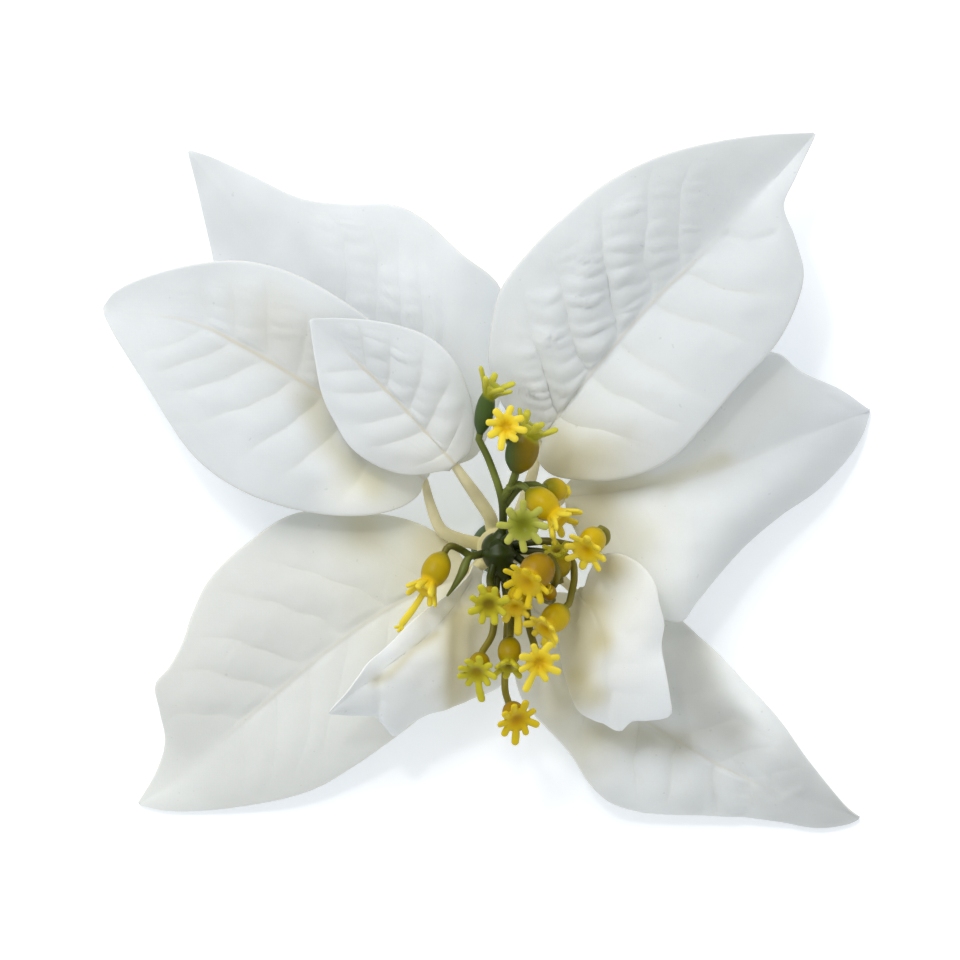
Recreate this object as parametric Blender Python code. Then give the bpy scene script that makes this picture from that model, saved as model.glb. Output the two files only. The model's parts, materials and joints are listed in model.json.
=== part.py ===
"""White artificial poinsettia head, about 0.22 m from tip to tip, lying face up.

Nine bracts of thin moulded foam ride on cream plastic stalks. The stalks grow
from three rings, which are stacked over a green back cap. A green plastic spray
plugs into the cap through the rings and carries seventeen small flowers and a
bud.

The frame is in metres with +Z up. The origin is the centre of the back cap's
flat underside. All the dimensions below are millimetres.
"""

import math

import bmesh
import bpy
from mathutils import Quaternion, Vector

MM = 0.001
UP = Vector((0, 0, 1))

# Fits between pieces
CLEARANCE = 0.3
BORE_RADIUS = 2.0
PEG_RADIUS = BORE_RADIUS - CLEARANCE

# Back cap
CAP_RADIUS = 6.0
CAP_SHOULDER_RADIUS = 4.6
CAP_SHOULDER_Z = 5.0
CAP_HEIGHT = 8.0
CAP_SOCKET_FLOOR = 2.5
ROUND_SIDES = 24

# Stalk rings
RING_RADIUS = 4.6
RING_HEIGHT = 2.5
RING_PITCH = RING_HEIGHT + CLEARANCE
STALK_ROOT_RADIUS = 3.4
STALK_THICKNESS = 2.4
RIB_THICKNESS = 1.3
RIB_END_THICKNESS = 0.7
STALK_SIDES = 6
STALK_FLATNESS = 1.3
RIB_SHARE = 0.62
RIB_STEPS = 8
RIM_RUN = 0.6
STALK_STEPS = 4
STEPS_A_POINT = 2

# Bract blades
BLADE_THICKNESS = 0.8
NECK_WIDTH = 3.0
TIP_WIDTH = 0.8
VEIN_SWEEP = 0.22
SWEEP_FROM_BASE = 4
SWEEP_TO_TIP = 2
FIRST_VEIN = 0.07
LAST_VEIN = 0.88
RELIEF = 0.55
RELIEF_FROM_RIB = 8
RELIEF_TO_EDGE = 3
RUFFLE_WAVES = 3
END_SHARE = 0.05
NORMAL_REACH = 0.02
COLUMNS = (-1.0, -0.6, -0.14, 0.0, 0.14, 0.6, 1.0)
ROWS_A_VEIN = 3
BASE_ROWS = (0.02, 0.045)

# Flower spray
HUB_PROFILE = (
    (2.8, PEG_RADIUS),
    (16.4, PEG_RADIUS),
    (17.6, 3.0),
    (20.5, 3.6),
    (24.0, 3.4),
    (26.4, 1.8),
)
HUB_SIDES = 10
KNUCKLE_ROUTE = (
    (1.5, 4.8, 24),
    (1.2, 3.4, 24),
    (0.5, 0.8, 23.6),
    (0.6, -2.6, 23.4),
    (1.3, -5.4, 23.2),
    (1.9, -7.2, 22.8),
)
KNUCKLE_RADII = (0.9, 2, 3.7, 4.1, 3, 1.2)
STEM_RADIUS = 0.95
STEM_END_RADIUS = 0.8
STEM_END_RUN = 1.4
STEM_SIDES = 6
STEM_STEPS = 3
UPRIGHT = 0.95
LEAFLET_ROUTE = (
    (-5.4, -1.4, 23.6),
    (-6.8, -2.6, 24.6),
    (-8, -5.6, 25.6),
    (-9.9, -8.8, 26.4),
    (-11.5, -11, 26.8),
)
LEAFLET_RADII = (0.8, 0.9, 1.1, 0.8, 0.25)

# Small flowers
CUP_SIDES = 8
CUP_OUTLINE = ((0.0, 0.36), (0.22, 0.82), (0.52, 1.0), (0.8, 0.9), (1.0, 0.62))
RAY_SIDES = 4
RAY_RADII = (0.4, 0.6, 0.85)
RAY_ROOT_SHARE = 0.72
RAY_RIM_SHARE = 0.96
RAY_RIM_WIDTH = 0.42
WEB_ROOT_SHARE = 0.85
WEB_ROOT_WIDTH = 0.5
WEB_REACH = 1.2
PRONG_SPREAD = 38
PRONG_REACH = 2.0
PRONG_RADII = (0.6, 0.45)
RAY_UNEVENNESS = 0.12
SPREAD_RHYTHM = 5
REACH_RHYTHM = 3
FACING_UP = 0.6

# Each blade: the rib from base to tip, then the edges to the left and the right
# of it, as seen from above by someone who looks from the base to the tip. The
# two ends are left out of the edges. "tier" is the ring that carries the blade,
# "route" the stalk between them, "arch" the rise of each half between the rib
# and its edge as a share of its width, "ruffle" the height of the waves along
# the edges.
BLADES = {
    "bract_back_upper_left": {
        "tier": 0,
        "route": ((-1.8, 7.4, 9.8), (-4.8, 11.8, 10.6)),
        "rib": ((-9.8, 18.8, 12.6), (-33, 46, 15), (-54, 71, 9.5), (-71, 91.5, 0.6)),
        "left": ((-15, 18.2, 13), (-27, 20.4, 13), (-41, 29.5, 11.5), (-54.5, 41, 10), (-62, 52.5, 8),
                 (-65, 65, 6.5), (-67.2, 75.5, 4.5), (-69, 83, 2.4)),
        "right": ((-3.9, 22.5, 14), (0.7, 34, 15), (2.5, 47, 16), (0.7, 60, 17), (-8, 67.5, 18),
                  (-16.6, 75.4, 17.5), (-24, 79, 16), (-34, 79, 13.5), (-45.3, 80.5, 10.5),
                  (-57, 86, 6), (-65, 89.8, 3)),
        "veins": 7,
        "arch": 0.10,
        "ruffle": 0.8,
    },
    "bract_back_right": {
        "tier": 0,
        "route": ((9, 6.5, 10.4),),
        "rib": ((15.6, 11.7, 12), (30, 13.3, 14.5), (47, 16.8, 15), (67.5, 24.5, 9), (85.8, 31.5, 0.6)),
        "left": ((17, 15.8, 13.5), (28, 25, 16.5), (42, 34, 18), (54, 42, 17.5), (63.5, 45, 15.5),
                 (70, 40.6, 12.5), (79, 36.5, 7)),
        "right": ((16.6, 7, 12.4), (18.8, 2.4, 13.2), (21.8, -2.6, 14), (26, -8.6, 15),
                  (31.5, -13.4, 15.6), (37, -16.2, 15.6), (42.6, -16.8, 15), (46.6, -11.6, 14.4),
                  (56, -0.5, 13), (65, 7.1, 10.5), (73, 12.7, 7.5), (80, 19.8, 4.5), (84.2, 26, 2)),
        "veins": 6,
        "arch": 0.14,
        "ruffle": 0.6,
    },
    "bract_back_lower_right": {
        "tier": 0,
        "route": ((3.4, -6, 10),),
        "rib": ((5.3, -10.1, 11.6), (14.5, -21.5, 12.6), (24, -33, 12), (36, -41, 10), (52, -50.5, 7.5),
                (67.4, -57.2, 4.5), (83.5, -62.3, 0.6)),
        "left": ((10, -10, 11), (18, -10.5, 9.6), (28.3, -12, 8.4), (38, -13.2, 8.2), (43, -17, 8.6),
                 (50.1, -23.5, 9), (57, -31, 9), (65.1, -39.6, 8), (70.8, -47.6, 6.2), (76.6, -55, 4),
                 (81, -60, 2)),
        "right": ((4, -16.6, 11), (3.5, -25.8, 11.5), (5.8, -35, 12), (11, -41, 11.5),
                  (16.8, -47.5, 10), (21, -54, 8), (26, -58.6, 6.5), (34, -61, 5), (47, -61.6, 3.8),
                  (60.5, -62.5, 2.6), (73, -64.4, 1.6), (80, -63.9, 0.9)),
        "veins": 7,
        "arch": 0.08,
        "ruffle": 0.5,
    },
    "bract_back_lower_left": {
        "tier": 0,
        "route": (),
        "rib": ((-6.6, -6.2, 10.9), (-22.3, -12.4, 12.6), (-36, -21.2, 12.6), (-48, -31, 10),
                (-62, -43, 6.5), (-74, -53.8, 3), (-82.5, -59, 0.6)),
        "left": ((-4.6, -13, 10), (-5.4, -21.2, 9.8), (-10.8, -31.5, 10), (-17.7, -39.1, 9.8),
                 (-27, -46.2, 8.6), (-36, -52.2, 6.8), (-43, -55.8, 5.2), (-52, -58.5, 3.4),
                 (-63.7, -60.2, 1.8), (-75, -60.5, 0.9)),
        "right": ((-9.4, -0.6, 10.4), (-14, 3.6, 10.6), (-22.3, 7.1, 11), (-34, 8.4, 12),
                  (-47, 7.8, 12), (-58, 0.7, 11.2), (-66, -7, 10.2), (-70, -14.7, 9.4),
                  (-72.4, -21.6, 8.8), (-75.4, -27.2, 8.2), (-78.8, -31.6, 7.6), (-77.8, -37.5, 6.2),
                  (-76.4, -44.2, 4.6), (-78.4, -51.3, 2.8)),
        "veins": 6,
        "arch": 0.10,
        "ruffle": 0.6,
    },
    "bract_mid_left": {
        "tier": 1,
        "route": ((-8.6, 2, 13.4), (-12.8, 4.2, 14.2), (-15.2, 9.6, 15)),
        "rib": ((-16.6, 15.6, 16), (-31.5, 28.6, 19.5), (-45.3, 38.6, 20.5), (-59, 46.7, 19),
                (-71, 52.2, 16.5), (-90.6, 55.3, 12)),
        "left": ((-18.4, 12, 17), (-22.5, 9.2, 18.5), (-29.2, 7.6, 20), (-38.4, 7.6, 21),
                 (-47.6, 9.2, 21.5), (-57, 12.4, 21.5), (-65, 17, 21), (-71.8, 23.7, 20),
                 (-79.8, 36, 18), (-86.7, 46.7, 15.5), (-90, 52.6, 13)),
        "right": ((-15, 19.5, 17), (-14.6, 25, 18.4), (-16.5, 35, 20), (-23, 46.7, 21.2),
                  (-33, 55.2, 22), (-45.3, 62.4, 22), (-57, 65.8, 20.5), (-68.3, 65.5, 18.5),
                  (-79.8, 62.8, 15.8), (-87.6, 59.2, 13.4)),
        "veins": 7,
        "arch": 0.10,
        "ruffle": 0.6,
    },
    "bract_mid_upper_right": {
        "tier": 1,
        "route": ((5, 7.5, 13.2), (8, 16.5, 14.2)),
        "rib": ((9.9, 24.8, 15.5), (15, 31.5, 17), (24, 43, 19.5), (35.2, 55.9, 20.5), (46.7, 67.2, 20),
                (56.2, 77, 18.5), (65.1, 86.3, 17.5), (73, 95.3, 18)),
        "left": ((6.2, 27, 16.5), (1.2, 33, 19), (-1.8, 42, 22), (-1.2, 51.3, 24), (1.4, 60.5, 25.5),
                 (9, 70, 26), (15.6, 76.2, 26), (24, 83.2, 25.5), (35.2, 89.2, 24), (46.7, 92.7, 22.5),
                 (60.5, 94.9, 20.5)),
        "right": ((9.6, 20.4, 16), (12.4, 17, 17), (17.5, 15.8, 18), (25.5, 15.6, 20), (34, 17.5, 22),
                  (41, 21.4, 23.5), (47, 27.6, 24.5), (56, 38, 25), (63.3, 45.8, 24.5), (68, 54, 23.5),
                  (70.4, 62.8, 22), (68.4, 71, 20.5), (65.8, 78.2, 19.5), (68.7, 85.3, 19)),
        "veins": 7,
        "arch": 0.12,
        "ruffle": 0.6,
    },
    "bract_front_upper_left": {
        "tier": 2,
        "route": ((-1.7, 7.4, 16.6), (-4.4, 11.7, 18.6), (-7, 15.4, 21)),
        "rib": ((-9.6, 19.2, 23.6), (-15.4, 25.6, 25.8), (-22.4, 33.2, 27), (-33.8, 44.3, 27.3),
                (-42.8, 52.4, 26)),
        "left": ((-13.4, 17.6, 25), (-20, 16.8, 27), (-27, 18.6, 28.6), (-33.4, 23, 29.4),
                 (-37.4, 29.4, 29.6), (-40.2, 35.4, 29.4), (-41.8, 43.2, 28.4)),
        "right": ((-6.2, 22.4, 25.2), (-5.2, 28, 27.5), (-6.4, 35.2, 29.6), (-9.8, 43, 31),
                  (-15.4, 48.3, 31), (-22.3, 51, 30.2), (-30, 52.4, 28.8), (-37.3, 52.8, 27.2)),
        "veins": 6,
        "arch": 0.14,
        "ruffle": 0.4,
    },
    "bract_front_lower_left": {
        "tier": 2,
        "route": (),
        "rib": ((-4.4, -4.6, 17.6), (-10, -13.4, 22.8), (-16.6, -20.6, 27.4), (-22.3, -25, 28),
                (-28.4, -29.6, 27), (-38.4, -38, 23.5)),
        "left": ((-3.6, -8.4, 17.6), (-0.6, -12, 17.8), (1.2, -17, 17.6), (1.8, -24, 17),
                 (1.5, -30.6, 16.6), (-1.6, -33, 16.4), (-7, -35, 16.4), (-11, -36.6, 16.8),
                 (-15.6, -38, 17.4), (-19.4, -40.2, 18), (-23.8, -43.4, 18.6), (-26, -41, 19.8),
                 (-28.4, -38.8, 21), (-33.8, -38.6, 22.2)),
        "right": ((-6.6, -6.2, 19.4), (-9.6, -9.4, 22.2), (-13.1, -12, 25), (-18.9, -16.1, 27.6),
                  (-24.2, -21.4, 28.4), (-29.6, -26.4, 28), (-33.6, -32, 26.4)),
        "veins": 5,
        "arch": 0.11,
        "ruffle": 0.5,
    },
    "bract_front_lower_right": {
        "tier": 2,
        "route": ((8.4, -3.6, 16.4), (14.4, -6.8, 18)),
        "rib": ((18, -10.2, 20.4), (22, -14.6, 24.8), (24.6, -22, 27.6), (25.2, -30.4, 26.6),
                (26.6, -36.6, 24), (28.3, -41.9, 21)),
        "left": ((20.8, -8.6, 22.4), (21.6, -5, 24.4), (23.6, -1.6, 26.4), (28.4, -1.3, 28.6),
                 (33.4, -4.1, 29.8), (36.3, -8.3, 30), (37.2, -12.7, 29.4), (38.3, -17.2, 28.6),
                 (37.8, -22, 28), (38.6, -27.6, 27.4), (39.6, -33.4, 26), (39.8, -38.2, 24),
                 (35.2, -39.4, 23.4), (31.5, -39.4, 22.6)),
        "right": ((16, -13.4, 19.6), (14.6, -19, 18.2), (14.8, -26, 17.6), (16.6, -32.6, 18.2),
                  (19.2, -37.4, 19), (22.2, -39.4, 20), (25, -40.6, 20.4)),
        "veins": 5,
        "arch": 0.16,
        "ruffle": 0.4,
    },
}

# Each small flower: the foot of its cup, the way the cup faces, the cup's length
# and radius, its rays (how many, how far they reach, and their spread from the
# cup's axis in degrees), and the route of its stem up to the foot. "turn" is the
# direction of the first ray in degrees, and "first" makes that ray longer. The
# bud and the flower seen from behind have three short rays in a nearly shut mouth.
# "prongs" fork the end of the first ray, and "fan" is the way the rays open where
# the mouth is bent aside.
FLOWERS = {
    "flower_top_left": {
        "foot": (-3.9, 26.4, 31), "face": (0.2, 0.94, 0.28), "fan": (0.55, 0.78, 0.3),
        "length": 9.6, "radius": 2.2,
        "rays": 6, "reach": 5.6, "spread": 40, "turn": 20, "first": 1.0, "colour": "olive",
        "stem": ((1.4, 2.6, 24.4), (1.1, 11, 27.4), (-1.6, 19.5, 29.2)),
    },
    "flower_top_front": {
        "foot": (1.7, 27, 40.4), "face": (0.05, 0.16, 1), "length": 5.4, "radius": 2.3,
        "rays": 8, "reach": 3.6, "spread": 76, "turn": 166, "first": 1.3, "colour": "yellow",
        "stem": ((1.2, 11, 27.4), (3.4, 14.6, 28.2), (4.4, 18.4, 27), (3.4, 23, 28), (1.9, 26.2, 33.5)),
    },
    "flower_top_right": {
        "foot": (4.2, 17.5, 32), "face": (0.3, 0.92, 0.14), "fan": (0.55, 0.8, 0.14),
        "length": 9.2, "radius": 3.8,
        "rays": 7, "reach": 5.4, "spread": 40, "turn": 10, "first": 1.0, "colour": "olive",
        "stem": ((1.2, 12, 27.6), (3, 14, 28.6)),
    },
    "flower_upper_right": {
        "foot": (7.2, 13.2, 31.8), "face": (0.7, -0.65, 0.3), "length": 8.4, "radius": 3.4,
        "rays": 8, "reach": 5.6, "spread": 40, "turn": 20, "first": 1.1, "colour": "yellow",
        "stem": ((2.6, 13.8, 28.6), (4.8, 14.6, 30)),
    },
    "flower_right_behind": {
        "foot": (11, 13.8, 28.4), "face": (0.64, -0.12, -0.76), "length": 6.0, "radius": 2.8,
        "rays": 3, "reach": 1.2, "spread": 24, "turn": 0, "first": 1.0, "colour": "yellow",
        "stem": ((1.4, 9.4, 26.2), (5, 13.8, 27.4), (8.4, 14.6, 29.4)),
    },
    "flower_centre": {
        "foot": (5.8, 6.2, 36.6), "face": (0.02, -0.12, 1), "length": 6.6, "radius": 2.5,
        "rays": 8, "reach": 4.8, "spread": 72, "turn": 0, "first": 1.0, "colour": "olive",
        "stem": ((1, 1.2, 25), (4.2, 4, 29.5)),
    },
    "flower_right_low": {
        "foot": (14.4, -6.4, 25.8), "face": (-0.1, 0.78, 0.58), "length": 6.6, "radius": 3.0,
        "rays": 6, "reach": 2.4, "spread": 40, "turn": 0, "first": 1.0, "colour": "olive",
        "stem": ((2, 0, 22), (7, -3.8, 22.6), (12.4, -7.2, 24)),
    },
    "flower_right": {
        "foot": (23.2, 3.7, 31), "face": (-0.4, -0.58, 0.71), "length": 6.2, "radius": 3.1,
        "rays": 8, "reach": 4.4, "spread": 60, "turn": 20, "first": 1.0, "colour": "yellow",
        "stem": ((2, 0.6, 21.6), (11, 1.6, 22.6), (19, 0.4, 24), (24.4, 1.2, 26.4), (25.2, 3.4, 28.6)),
    },
    "flower_big": {
        "foot": (11.4, -2.6, 36.4), "face": (-0.5, -0.56, 0.66), "length": 8.0, "radius": 4.0,
        "rays": 9, "reach": 4.8, "spread": 54, "turn": 90, "first": 1.0, "colour": "yellow",
        "stem": ((1.6, -2.4, 22.6), (6, -7, 25), (10.4, -9.6, 27), (12.9, -8.6, 30), (13.8, -5.2, 33.8)),
    },
    "flower_bud": {
        "foot": (12.4, -11.2, 30.4), "face": (-0.22, 0.42, 0.88), "length": 4.6, "radius": 1.8,
        "rays": 3, "reach": 0.8, "spread": 20, "turn": 0, "first": 1.0, "colour": "yellow",
        "stem": ((1.8, -3, 22), (7, -9, 24), (11.4, -12, 26.6)),
    },
    "flower_left": {
        "foot": (-12.2, -1.3, 28), "face": (-0.42, -0.84, 0.36), "fan": (-0.5, -0.78, 0.36),
        "length": 8.0, "radius": 3.2,
        "rays": 7, "reach": 5.0, "spread": 32, "turn": 180, "first": 2.3, "prongs": 3, "colour": "yellow",
        "stem": ((-2.2, -1, 22.6), (-5.8, -1.7, 23.8), (-8.2, -0.4, 25.4), (-10.4, 0.5, 27.4)),
    },
    "flower_lower_left": {
        "foot": (-1.5, -10, 33), "face": (-0.06, -0.42, 0.9), "length": 6.4, "radius": 2.6,
        "rays": 8, "reach": 3.8, "spread": 70, "turn": 200, "first": 1.0, "colour": "olive",
        "stem": ((-0.4, -2.4, 24.6), (-1.6, -6.8, 27)),
    },
    "flower_lower_middle": {
        "foot": (4.9, -9.2, 28.6), "face": (-0.1, -0.62, 0.78), "length": 6.0, "radius": 2.3,
        "rays": 7, "reach": 3.8, "spread": 50, "turn": 186, "first": 1.6, "colour": "yellow",
        "stem": ((1.2, -2.6, 23.4), (4, -6.4, 25.2)),
    },
    "flower_low_right": {
        "foot": (15.6, -13.6, 31), "face": (-0.6, -0.62, 0.5), "length": 6.8, "radius": 3.2,
        "rays": 8, "reach": 4.0, "spread": 56, "turn": 30, "first": 1.0, "colour": "yellow",
        "stem": ((2.4, -0.4, 20.4), (11, -1, 21.8), (16.8, -2.6, 23.6), (17.7, -6.8, 26), (17, -10.6, 29)),
    },
    "flower_row_middle": {
        "foot": (3, -20.6, 30.4), "face": (-0.05, -0.84, 0.54), "length": 6.6, "radius": 2.7,
        "rays": 7, "reach": 3.4, "spread": 40, "turn": 20, "first": 1.0, "colour": "olive",
        "stem": ((1.2, -3.4, 21.6), (2.9, -9.6, 24), (3.2, -15.6, 26.4)),
    },
    "flower_row_left": {
        "foot": (-3.6, -24.6, 30.6), "face": (-0.16, -0.6, 0.78), "length": 5.8, "radius": 2.5,
        "rays": 9, "reach": 3.5, "spread": 68, "turn": 183, "first": 1.8, "colour": "olive",
        "stem": ((0.2, -3.6, 22.4), (-0.5, -12.6, 25), (-1, -19.4, 27.2)),
    },
    "flower_row_right": {
        "foot": (9.2, -24.4, 33), "face": (0.08, -0.3, 0.95), "length": 5.6, "radius": 2.4,
        "rays": 8, "reach": 3.9, "spread": 76, "turn": 154, "first": 1.6, "colour": "yellow",
        "stem": ((2, -3, 21), (6.2, -11.6, 23.6), (7.5, -18.6, 26.6)),
    },
    "flower_bottom": {
        "foot": (3, -36.2, 28.2), "face": (0.26, -0.5, 0.82), "length": 5.6, "radius": 2.6,
        "rays": 9, "reach": 3.8, "spread": 68, "turn": 182, "first": 1.3, "colour": "yellow",
        "stem": ((1.2, -3.6, 20.6), (2.4, -14, 21.6), (2, -25, 22.8), (1.8, -32, 24.6)),
    },
}

FINISHES = {
    "bract": {"colour": (0.83, 0.84, 0.81), "roughness": 0.8},
    "stalk": {"colour": (0.80, 0.76, 0.60), "roughness": 0.45},
    "green": {"colour": (0.07, 0.13, 0.04), "roughness": 0.4},
    "yellow": {"colour": (0.72, 0.50, 0.03), "roughness": 0.4},
    "olive": {"colour": (0.36, 0.34, 0.04), "roughness": 0.4},
}


class Curve:
    """A smooth curve through points, read by the share of its length."""

    STEPS_A_SPAN = 8

    def __init__(self, points):
        knots = [Vector(point) for point in points]
        padded = [2 * knots[0] - knots[1], *knots, 2 * knots[-1] - knots[-2]]
        self.line = [knots[0]]
        for a, b, c, d in zip(padded, padded[1:], padded[2:], padded[3:]):
            for step in range(1, self.STEPS_A_SPAN + 1):
                self.line.append(catmull_rom(a, b, c, d, step / self.STEPS_A_SPAN))
        self.reach = [0.0]
        for start, end in zip(self.line, self.line[1:]):
            self.reach.append(self.reach[-1] + (end - start).length)

    def at(self, share):
        wanted = max(0.0, min(1.0, share)) * self.reach[-1]
        index = 1
        while index < len(self.reach) - 1 and self.reach[index] < wanted:
            index += 1
        span = self.reach[index] - self.reach[index - 1]
        part = (wanted - self.reach[index - 1]) / span if span else 0.0
        return self.line[index - 1].lerp(self.line[index], part)


def catmull_rom(a, b, c, d, u):
    """The point at u between b and c on the smooth curve through a, b, c and d."""
    slope_b, slope_c = (c - a) / 2, (d - b) / 2
    return (
        (2 * u**3 - 3 * u**2 + 1) * b
        + (u**3 - 2 * u**2 + u) * slope_b
        + (3 * u**2 - 2 * u**3) * c
        + (u**3 - u**2) * slope_c
    )


class Blade:
    """The surface of one bract: along runs from base to tip, and across from -1, the left edge, to 1."""

    def __init__(self, shape):
        self.shape = shape
        self.rib = Curve(shape["rib"])
        self.edges = {-1: self.edge(-1, shape["left"]), 1: self.edge(1, shape["right"])}

    def edge(self, side, points):
        base, tip = Vector(self.shape["rib"][0]), Vector(self.shape["rib"][-1])
        base_way = (self.rib.at(END_SHARE) - base).cross(UP).normalized()
        tip_way = (tip - self.rib.at(1 - END_SHARE)).cross(UP).normalized()
        first = base + side * base_way * NECK_WIDTH / 2
        last = tip + side * tip_way * TIP_WIDTH / 2
        return Curve((first, *points, last))

    def point(self, along, across):
        middle = self.rib.at(along)
        if not across:
            return middle
        half = self.edges[1 if across > 0 else -1].at(along) - middle
        out = abs(across)
        rise = self.shape["arch"] * half.length * 4 * out * (1 - out)
        wave = math.sin(2 * math.pi * RUFFLE_WAVES * along) * math.sin(math.pi * along)
        return middle + half * out + UP * (rise + self.shape["ruffle"] * out**3 * wave)

    def normal(self, along, across):
        low, high = max(0.0, along - NORMAL_REACH), min(1.0, along + NORMAL_REACH)
        left, right = max(-1.0, across - NORMAL_REACH), min(1.0, across + NORMAL_REACH)
        lengthwise = self.point(high, across) - self.point(low, across)
        crosswise = self.point(along, right) - self.point(along, left)
        return crosswise.cross(lengthwise).normalized()

    def swept(self, start, across):
        """How far along the blade a line that leaves the rib at start, like a side vein, is at across."""
        ease = min(1.0, SWEEP_FROM_BASE * start, SWEEP_TO_TIP * (1 - start))
        return start + VEIN_SWEEP * abs(across) * ease

    def relief(self, start, across):
        """The quilting: sunken along the rib, side veins and edges, and puffed up between them."""
        phase = (start - FIRST_VEIN) / (LAST_VEIN - FIRST_VEIN) * self.shape["veins"]
        if not 0 < phase < self.shape["veins"]:
            return 0.0
        out = abs(across)
        ease = min(1.0, RELIEF_FROM_RIB * out, RELIEF_TO_EDGE * (1 - out))
        return RELIEF * abs(math.sin(math.pi * phase)) * ease


def rows_of(blade):
    """The rows of a blade's mesh: one along each side vein, and two over each puffed strip."""
    spans = ROWS_A_VEIN * blade.shape["veins"]
    step = (LAST_VEIN - FIRST_VEIN) / spans
    veined = [FIRST_VEIN + step * k for k in range(spans + 1)]
    return [0.0, *BASE_ROWS, *veined, (1 + LAST_VEIN) / 2, 1.0]


def sheet_mesh(name, blade):
    """A closed sheet on the blade's surface, its two faces split into triangles alike."""
    rows = rows_of(blade)
    mesh = bmesh.new()
    layers = []
    for side in (1, -1):
        grid = []
        for start in rows:
            row = []
            for across in COLUMNS:
                along = blade.swept(start, across)
                lift = blade.relief(start, across) + side * BLADE_THICKNESS / 2
                place = blade.point(along, across) + lift * blade.normal(along, across)
                row.append(mesh.verts.new(place * MM))
            grid.append(row)
        layers.append(grid)
    top, under = layers
    last_row, last_column = len(rows) - 1, len(COLUMNS) - 1
    for i in range(last_row):
        for j in range(last_column):
            turn = (i + j) % 2
            for grid, flip in ((top, False), (under, True)):
                ring = [grid[i][j], grid[i][j + 1], grid[i + 1][j + 1], grid[i + 1][j]]
                ring = ring[turn:] + ring[:turn]
                for corners in (ring[:3], [ring[0], *ring[2:]]):
                    mesh.faces.new(corners[::-1] if flip else corners)
    for i in range(last_row):
        for j, flip in ((0, False), (last_column, True)):
            wall = [top[i][j], top[i + 1][j], under[i + 1][j], under[i][j]]
            mesh.faces.new(wall[::-1] if flip else wall)
    for j in range(last_column):
        for i, flip in ((0, True), (last_row, False)):
            wall = [top[i][j], top[i][j + 1], under[i][j + 1], under[i][j]]
            mesh.faces.new(wall[::-1] if flip else wall)
    return finished_mesh(name, mesh)


def finished_mesh(name, mesh):
    bmesh.ops.recalc_face_normals(mesh, faces=mesh.faces)
    data = bpy.data.meshes.new(name)
    mesh.to_mesh(data)
    mesh.free()
    return data


def tube_mesh(name, points, radii, sides, stretch=1.0):
    """A closed tube along points, with a radius at each. Stretch widens it level with the ground."""
    points = [Vector(point) for point in points]
    mesh = bmesh.new()
    rings = []
    way = (points[1] - points[0]).normalized()
    out = way.orthogonal().normalized()
    for index, (point, radius) in enumerate(zip(points, radii)):
        before = points[max(index - 1, 0)]
        after = points[min(index + 1, len(points) - 1)]
        turned = (after - before).normalized()
        out = way.rotation_difference(turned) @ out
        way = turned
        level = way.cross(UP).normalized() if abs(way.z) < UPRIGHT else Vector()
        ring = []
        for side in range(sides):
            spoke = Quaternion(way, 2 * math.pi * side / sides) @ out * radius
            spoke += level * spoke.dot(level) * (stretch - 1)
            ring.append(mesh.verts.new((point + spoke) * MM))
        rings.append(ring)
    for ring, after in zip(rings, rings[1:]):
        for side in range(sides):
            beside = (side + 1) % sides
            mesh.faces.new((ring[side], ring[beside], after[beside], after[side]))
    mesh.faces.new(rings[0][::-1])
    mesh.faces.new(rings[-1])
    return finished_mesh(name, mesh)


def turned_mesh(name, profile, sides):
    """A profile of (radius, height) points, closed by the axis or by itself, turned about the axis."""
    mesh = bmesh.new()
    rings = []
    for radius, height in profile:
        if radius:
            angles = (2 * math.pi * side / sides for side in range(sides))
            places = [Vector((radius * math.cos(a), radius * math.sin(a), height)) for a in angles]
        else:
            places = [Vector((0, 0, height))]
        rings.append([mesh.verts.new(place * MM) for place in places])
    pairs = list(zip(rings, rings[1:]))
    if all(radius for radius, _ in profile):
        pairs.append((rings[-1], rings[0]))
    for ring, after in pairs:
        for side in range(sides):
            beside = (side + 1) % sides
            near = (ring[side % len(ring)], ring[beside % len(ring)])
            far = (after[beside % len(after)], after[side % len(after)])
            mesh.faces.new(list(dict.fromkeys(near + far)))
    return finished_mesh(name, mesh)


def add_object(name, data, finish):
    node = bpy.data.objects.new(name, data)
    node.data.materials.clear()
    node.data.materials.append(finish)
    bpy.context.scene.collection.objects.link(node)
    return node


def fused(name, parts, finish):
    """One object from closed meshes that overlap."""
    node = add_object(name, parts[0], finish)
    tools = bpy.data.collections.new(name + "_parts")
    bpy.context.scene.collection.children.link(tools)
    for part in parts[1:]:
        tools.objects.link(bpy.data.objects.new(part.name, part))
    join = node.modifiers.new("join", "BOOLEAN")
    join.operation = "UNION"
    join.solver = "MANIFOLD"
    join.operand_type = "COLLECTION"
    join.collection = tools
    graph = bpy.context.evaluated_depsgraph_get()
    whole = bpy.data.meshes.new_from_object(node.evaluated_get(graph))
    node.modifiers.clear()
    node.data = whole
    node.data.materials.clear()
    node.data.materials.append(finish)
    for tool in list(tools.objects):
        bpy.data.objects.remove(tool)
    bpy.data.collections.remove(tools)
    return node


def make_finishes():
    made = {}
    for name, look in FINISHES.items():
        finish = bpy.data.materials.new(name)
        finish.use_nodes = True
        shader = finish.node_tree.nodes["Principled BSDF"]
        shader.inputs["Base Color"].default_value = (*look["colour"], 1)
        shader.inputs["Roughness"].default_value = look["roughness"]
        shader.inputs["Metallic"].default_value = 0.0
        made[name] = finish
    return made


def ring_floor(tier):
    return CAP_HEIGHT + CLEARANCE + tier * RING_PITCH


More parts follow.
